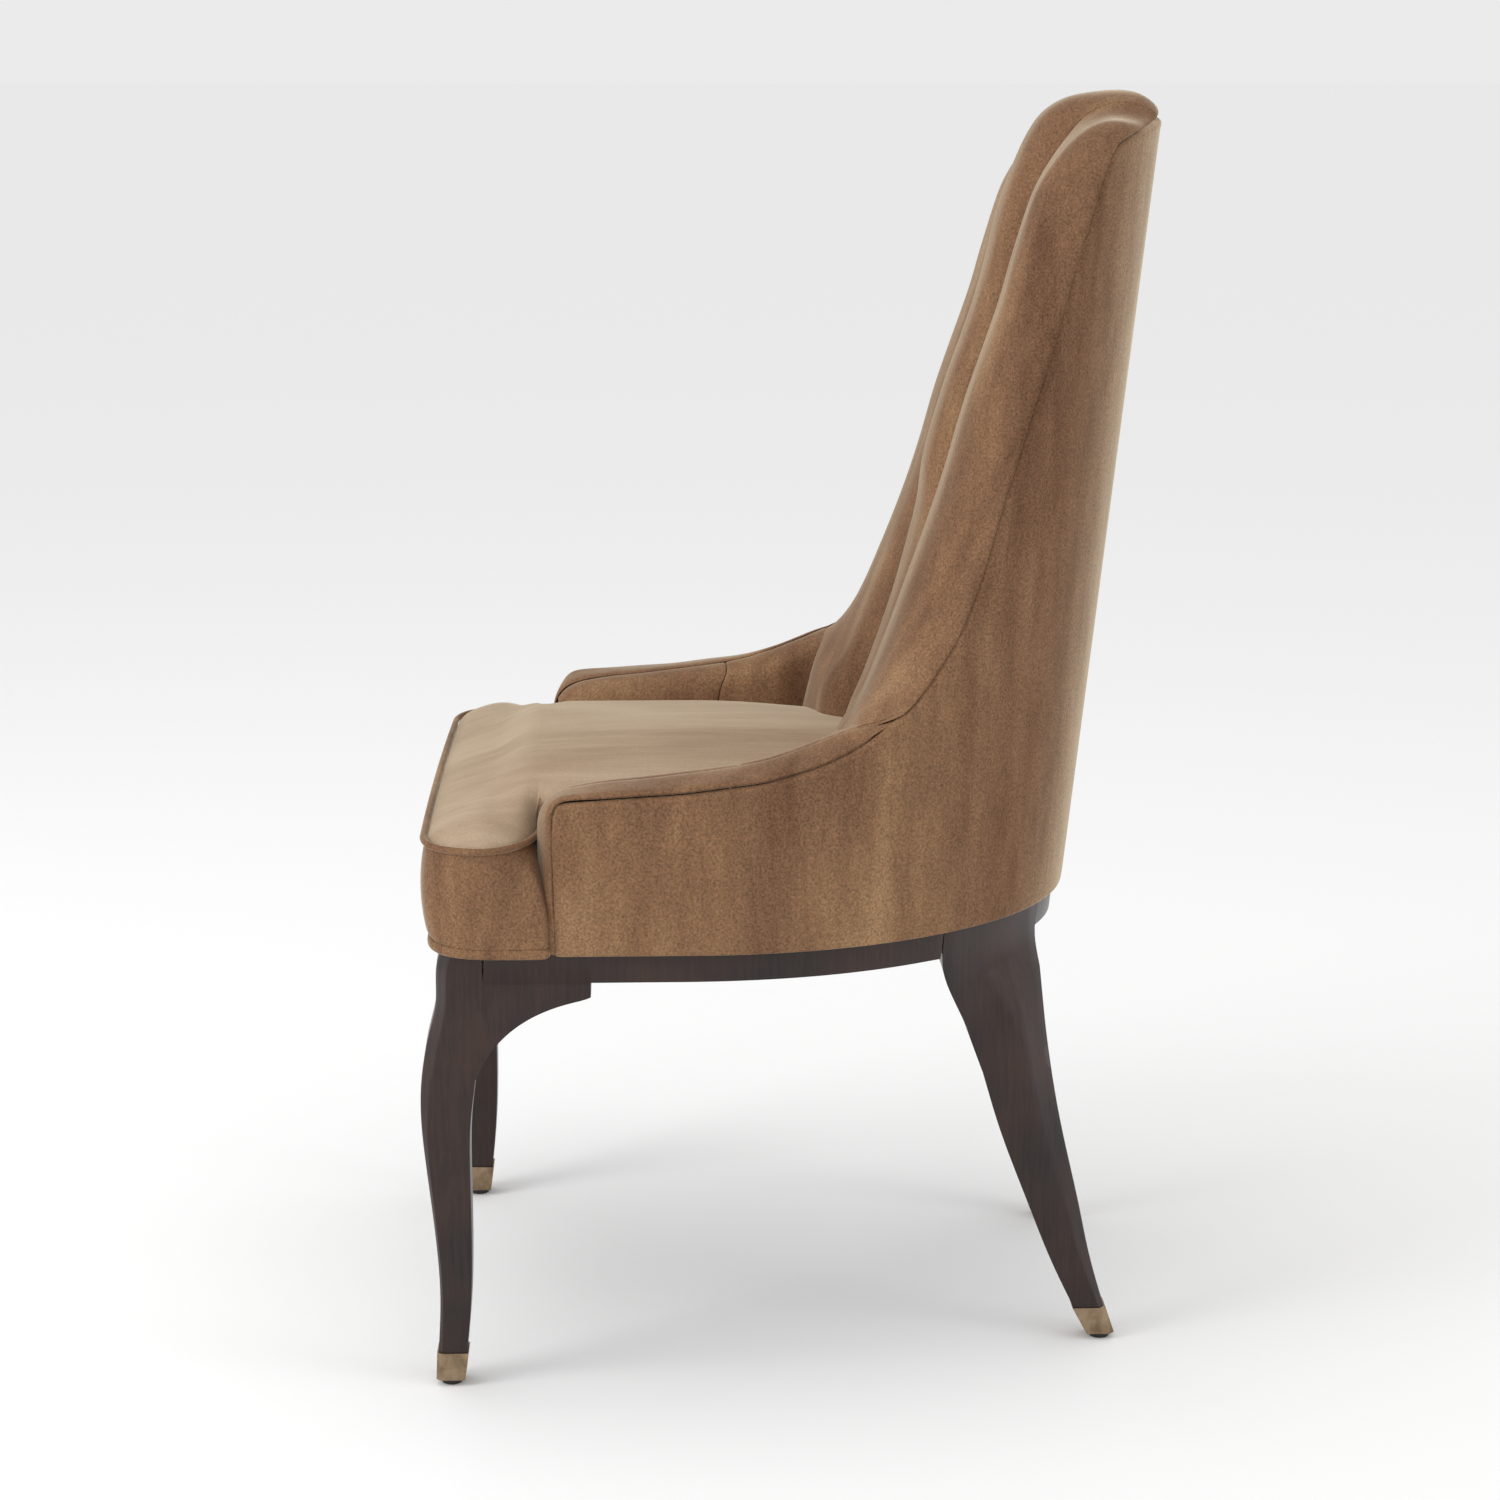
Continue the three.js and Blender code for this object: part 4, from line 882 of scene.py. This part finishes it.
def makeSeatTop(size, look):
    half = topEdge(size, look["inset"])
    sides = half[size["frontPoints"]:]
    # the front rows come from the front corner's points, the others are spaced along the sides
    depths = [p.y for p in sides[:size["turnPoints"] - 1]]
    depths += [*look["wing"], *look["stem"], size["rear"]]
    edgeSides = [(p.y, p.x) for p in sides]
    shares = [-1, *[-s for s in look["across"]], 0, *look["across"][::-1], 1]
    rows = []
    for y in depths:
        wide = lookUp(edgeSides, y)
        bow = size["bow"] * max(0, 1 - (y - depths[0]) / look["bowOver"])
        line = [(wide * s, y + bow * (s * s - 1)) for s in shares]
        rows.append([mm(x, deep, topHeight(abs(x), deep, half, size)) for x, deep in line])
    # the top gets the velvet paler than the boxing's, with painted light from above
    piece = makeVelvet("seat_top_velvet", rows, mm(0, 100, 400), size["thickness"],
                       ["seat_cover"], seatVelvetPaintedLight)


makeSeatBoxing(seatSizes)
makeSeatTop(seatSizes, topRows)


# A round cord of velvet along a line of points
def makePiping(name, points, diameter, nodes):
    bpy.ops.object.select_all(action="DESELECT")
    bpy.ops.curve.primitive_nurbs_path_add()
    piece = bpy.context.object
    piece.name = name
    spline = piece.data.splines[0]
    spline.points.add(len(points) - len(spline.points))
    for spot, point in zip(spline.points, points):
        spot.co = (*point, 1)
    spline.use_endpoint_u = True
    spline.order_u = 3
    piece.data.bevel_depth = diameter / 2000
    piece.data.bevel_resolution = 3
    piece.data.resolution_u = 3
    piece.data.use_fill_caps = True
    bpy.ops.object.convert(target="MESH")
    piece = bpy.context.object
    smooth(piece)
    finishPiece(piece, velvetCloth, nodes)


pipingHalf = halfOutline(seatSizes, pipedCorner, -seatSizes["weltOut"])
pipingPoints = [mm(p.x, p.y, edgeHeight(p.x, p.y, seatSizes)) for p in acrossFront(pipingHalf)]
makePiping("seat_welt_velvet", pipingPoints, seatSizes["welt"], ["seat_welt"])


# Hem band: a narrow strip under the boxing, from one arm front to the other
hemLook = {
    "profile": [(382.6, 2.5), (382.2, 0.8), (381, -0.6), (378, -1.2), (375, -1.0), (373.4, 0.4),
                (373, 2.5)],        # height, and distance inwards from the hem's line
    "thickness": 2,
}


def makeHem(size, look):
    rows = []
    for z, inset in look["profile"]:
        rows.append([mm(p.x, p.y, z) for p in acrossFront(halfOutline(size, hemCorner, inset))])
    makeVelvet("seat_hem_velvet", rows, mm(0, 100, 378), look["thickness"], ["seat_hem_band"])


makeHem(seatSizes, hemLook)
print("seat made")


# Wood pieces: the frame's own shapes with their long edges kept crisp and the rest smoothed
woodLook = {
    "crisp": 24,        # degrees, an edge sharper than this stays an edge
    "bevel": 0.35,      # mm, the eased edge
    "grow": 0.3,        # mm, closes the glued joints between the pieces
    "sharp": 40,        # degrees, past which an edge is eased
}


# A copy of one of the frame's pieces, its loose triangles merged and paired into quads
mergeLook = {"gap": 2e-6, "bend": 40, "skew": 60}       # metres, and degrees


def copyNode(node, name):
    bpy.ops.object.select_all(action="DESELECT")
    piece = frame["nodes"][node].copy()
    piece.data = piece.data.copy()
    piece.name = name
    piece.parent = None
    bpy.context.collection.objects.link(piece)
    inEdit(piece, lambda: bpy.ops.mesh.remove_doubles(threshold=mergeLook["gap"]),
           lambda: bpy.ops.mesh.tris_convert_to_quads(
               face_threshold=math.radians(mergeLook["bend"]),
               shape_threshold=math.radians(mergeLook["skew"])))
    return piece


def creaseSharp(piece, degrees):
    def pick():
        bpy.ops.mesh.select_all(action="DESELECT")
        bpy.ops.mesh.select_mode(type="EDGE")
        bpy.ops.mesh.edges_select_sharp(sharpness=math.radians(degrees))
        bpy.ops.transform.edge_crease(value=1)
    inEdit(piece, pick)


def shapedWood(node, look):
    piece = copyNode(node, f"{node}_wood")
    inEdit(piece, lambda: bpy.ops.transform.shrink_fatten(value=look["grow"] / 1000))
    creaseSharp(piece, look["crisp"])
    apply(piece, "SUBSURF", levels=2, render_levels=2)
    return piece


# The pieces are glued and lacquered together, so one surface runs over their joints
def makeWood(name, nodes, look):
    piece, *others = [shapedWood(node, look) for node in nodes]
    for other in others:
        apply(piece, "BOOLEAN", object=other, operation="UNION", solver="EXACT")
        bpy.data.objects.remove(other)
    piece.name = name
    apply(piece, "BEVEL", width=look["bevel"] / 1000, segments=2, limit_method="ANGLE",
          angle_limit=math.radians(look["sharp"]), harden_normals=False)
    smooth(piece, look["sharp"])
    finishPiece(piece, espresso, nodes)


for side in ("left", "right"):
    makeWood(f"side_frame_wood_{side}", [f"side_rail_{side}", f"knee_block_{side}",
                                         f"front_leg_{side}", f"rear_leg_{side}"], woodLook)
makeWood("back_rail_wood", ["back_rail"], woodLook)
print("wood made")

# Seat foam, pressed down by the cover
foam = copyNode("seat_foam", "seat_foam_pressed")
foamEdge = topEdge(seatSizes)
for vertex in foam.data.vertices:
    x, y = abs(vertex.co.x) * 1000, (vertex.co.y - frontLine) * 1000
    under = topHeight(x, y, foamEdge, seatSizes) - seatSizes["foamGap"]
    vertex.co.z = min(vertex.co.z, under / 1000)
finishPiece(foam, seatFoam, ["seat_foam"])
print("foam made")

# Feet: metal cups with eased edges, on round glides
footLook = {"cupBevel": 0.8, "cupSharp": 35, "glideBevel": 1.6, "sharp": 40}
for foot in ("front_left", "front_right", "rear_left", "rear_right"):
    cup = copyNode(f"ferrule_{foot}", f"ferrule_{foot}_brass")
    apply(cup, "BEVEL", width=footLook["cupBevel"] / 1000, segments=2, limit_method="ANGLE",
          angle_limit=math.radians(footLook["cupSharp"]))
    smooth(cup, footLook["sharp"])
    finishPiece(cup, agedBrass, [f"ferrule_{foot}"])

    low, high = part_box(f"glide_base_{foot}")
    radius = (high[0] - low[0]) / 2
    bpy.ops.object.select_all(action="DESELECT")
    bpy.ops.mesh.primitive_cylinder_add(
        vertices=48, radius=radius, depth=high[2] - low[2],
        location=((low[0] + high[0]) / 2, (low[1] + high[1]) / 2, (low[2] + high[2]) / 2))
    glide = bpy.context.object
    glide.name = f"glide_{foot}_nylon"
    bpy.ops.object.transform_apply(location=True, rotation=True, scale=True)
    apply(glide, "BEVEL", width=footLook["glideBevel"] / 1000, segments=4, limit_method="ANGLE",
          angle_limit=math.radians(footLook["sharp"]))
    smooth(glide, footLook["sharp"])
    finishPiece(glide, blackNylon, [f"glide_base_{foot}"], f"glide_{foot}")
print("feet made")

# What stays as the frame made it gets its real finish
plainFinishes = {
    "frame_wood": rawBeech,
    "plywood": birchPly,
    "foam": seatFoam,
    "cambric": cambricCloth,
    "brass": agedBrass,
    "steel": zincSteel,
    "dark_wood": espresso,
    "velvet": velvetCloth,
    "glide_plastic": blackNylon,
}
for part in frame["record"]["subparts"]:
    node = frame["nodes"][part["node"]]
    for slot in node.material_slots:
        slot.material = plainFinishes[part["material_slot"]]
print("hidden parts finished")

# Floor, light and background
studio = {
    "floor": "#fdfdfd",
    "floorSize": 400,   # m, so that its edge is far out of sight
    "world": "#efefef",
    "worldStrength": 0.96,
}
bpy.ops.object.select_all(action="DESELECT")
bpy.ops.mesh.primitive_plane_add(size=studio["floorSize"], location=(0, 0, 0))
floor = bpy.context.object
floor.name = "floor"
floorMaterial, floorTree = newMaterial("studioFloor")[:2]
finishMaterial(floorTree, addNode(floorTree, "ShaderNodeBsdfDiffuse", None,
                                  {"Color": hexColour(studio["floor"])}))
floor.data.materials.append(floorMaterial)

# Round soft lights: where each stands and what it faces, in metres, its width and its watts
softLights = {
    "keyLight": {"place": (1.4, -3, 2), "aim": (0, 0, 0.5), "size": 1.8, "power": 40},
    "rearLight": {"place": (1.6, 3, 1.6), "aim": (0, 0.1, 0.6), "size": 1.6, "power": 14},
    "topLight": {"place": (0.2, -0.6, 3.2), "aim": (0, 0, 0.4), "size": 1.6, "power": 9},
}
for name, look in softLights.items():
    bpy.ops.object.light_add(type="AREA", location=look["place"])
    light = bpy.context.object
    light.name = name
    facing = Vector(look["aim"]) - Vector(look["place"])
    light.rotation_euler = facing.to_track_quat("-Z", "Y").to_euler()
    light.data.shape = "DISK"
    light.data.size = look["size"]
    light.data.energy = look["power"]
world = bpy.data.worlds.new("studio")
bpy.context.scene.world = world
world.use_nodes = True
world.node_tree.nodes["Background"].inputs[0].default_value = hexColour(studio["world"])
world.node_tree.nodes["Background"].inputs[1].default_value = studio["worldStrength"]
print("studio lit")
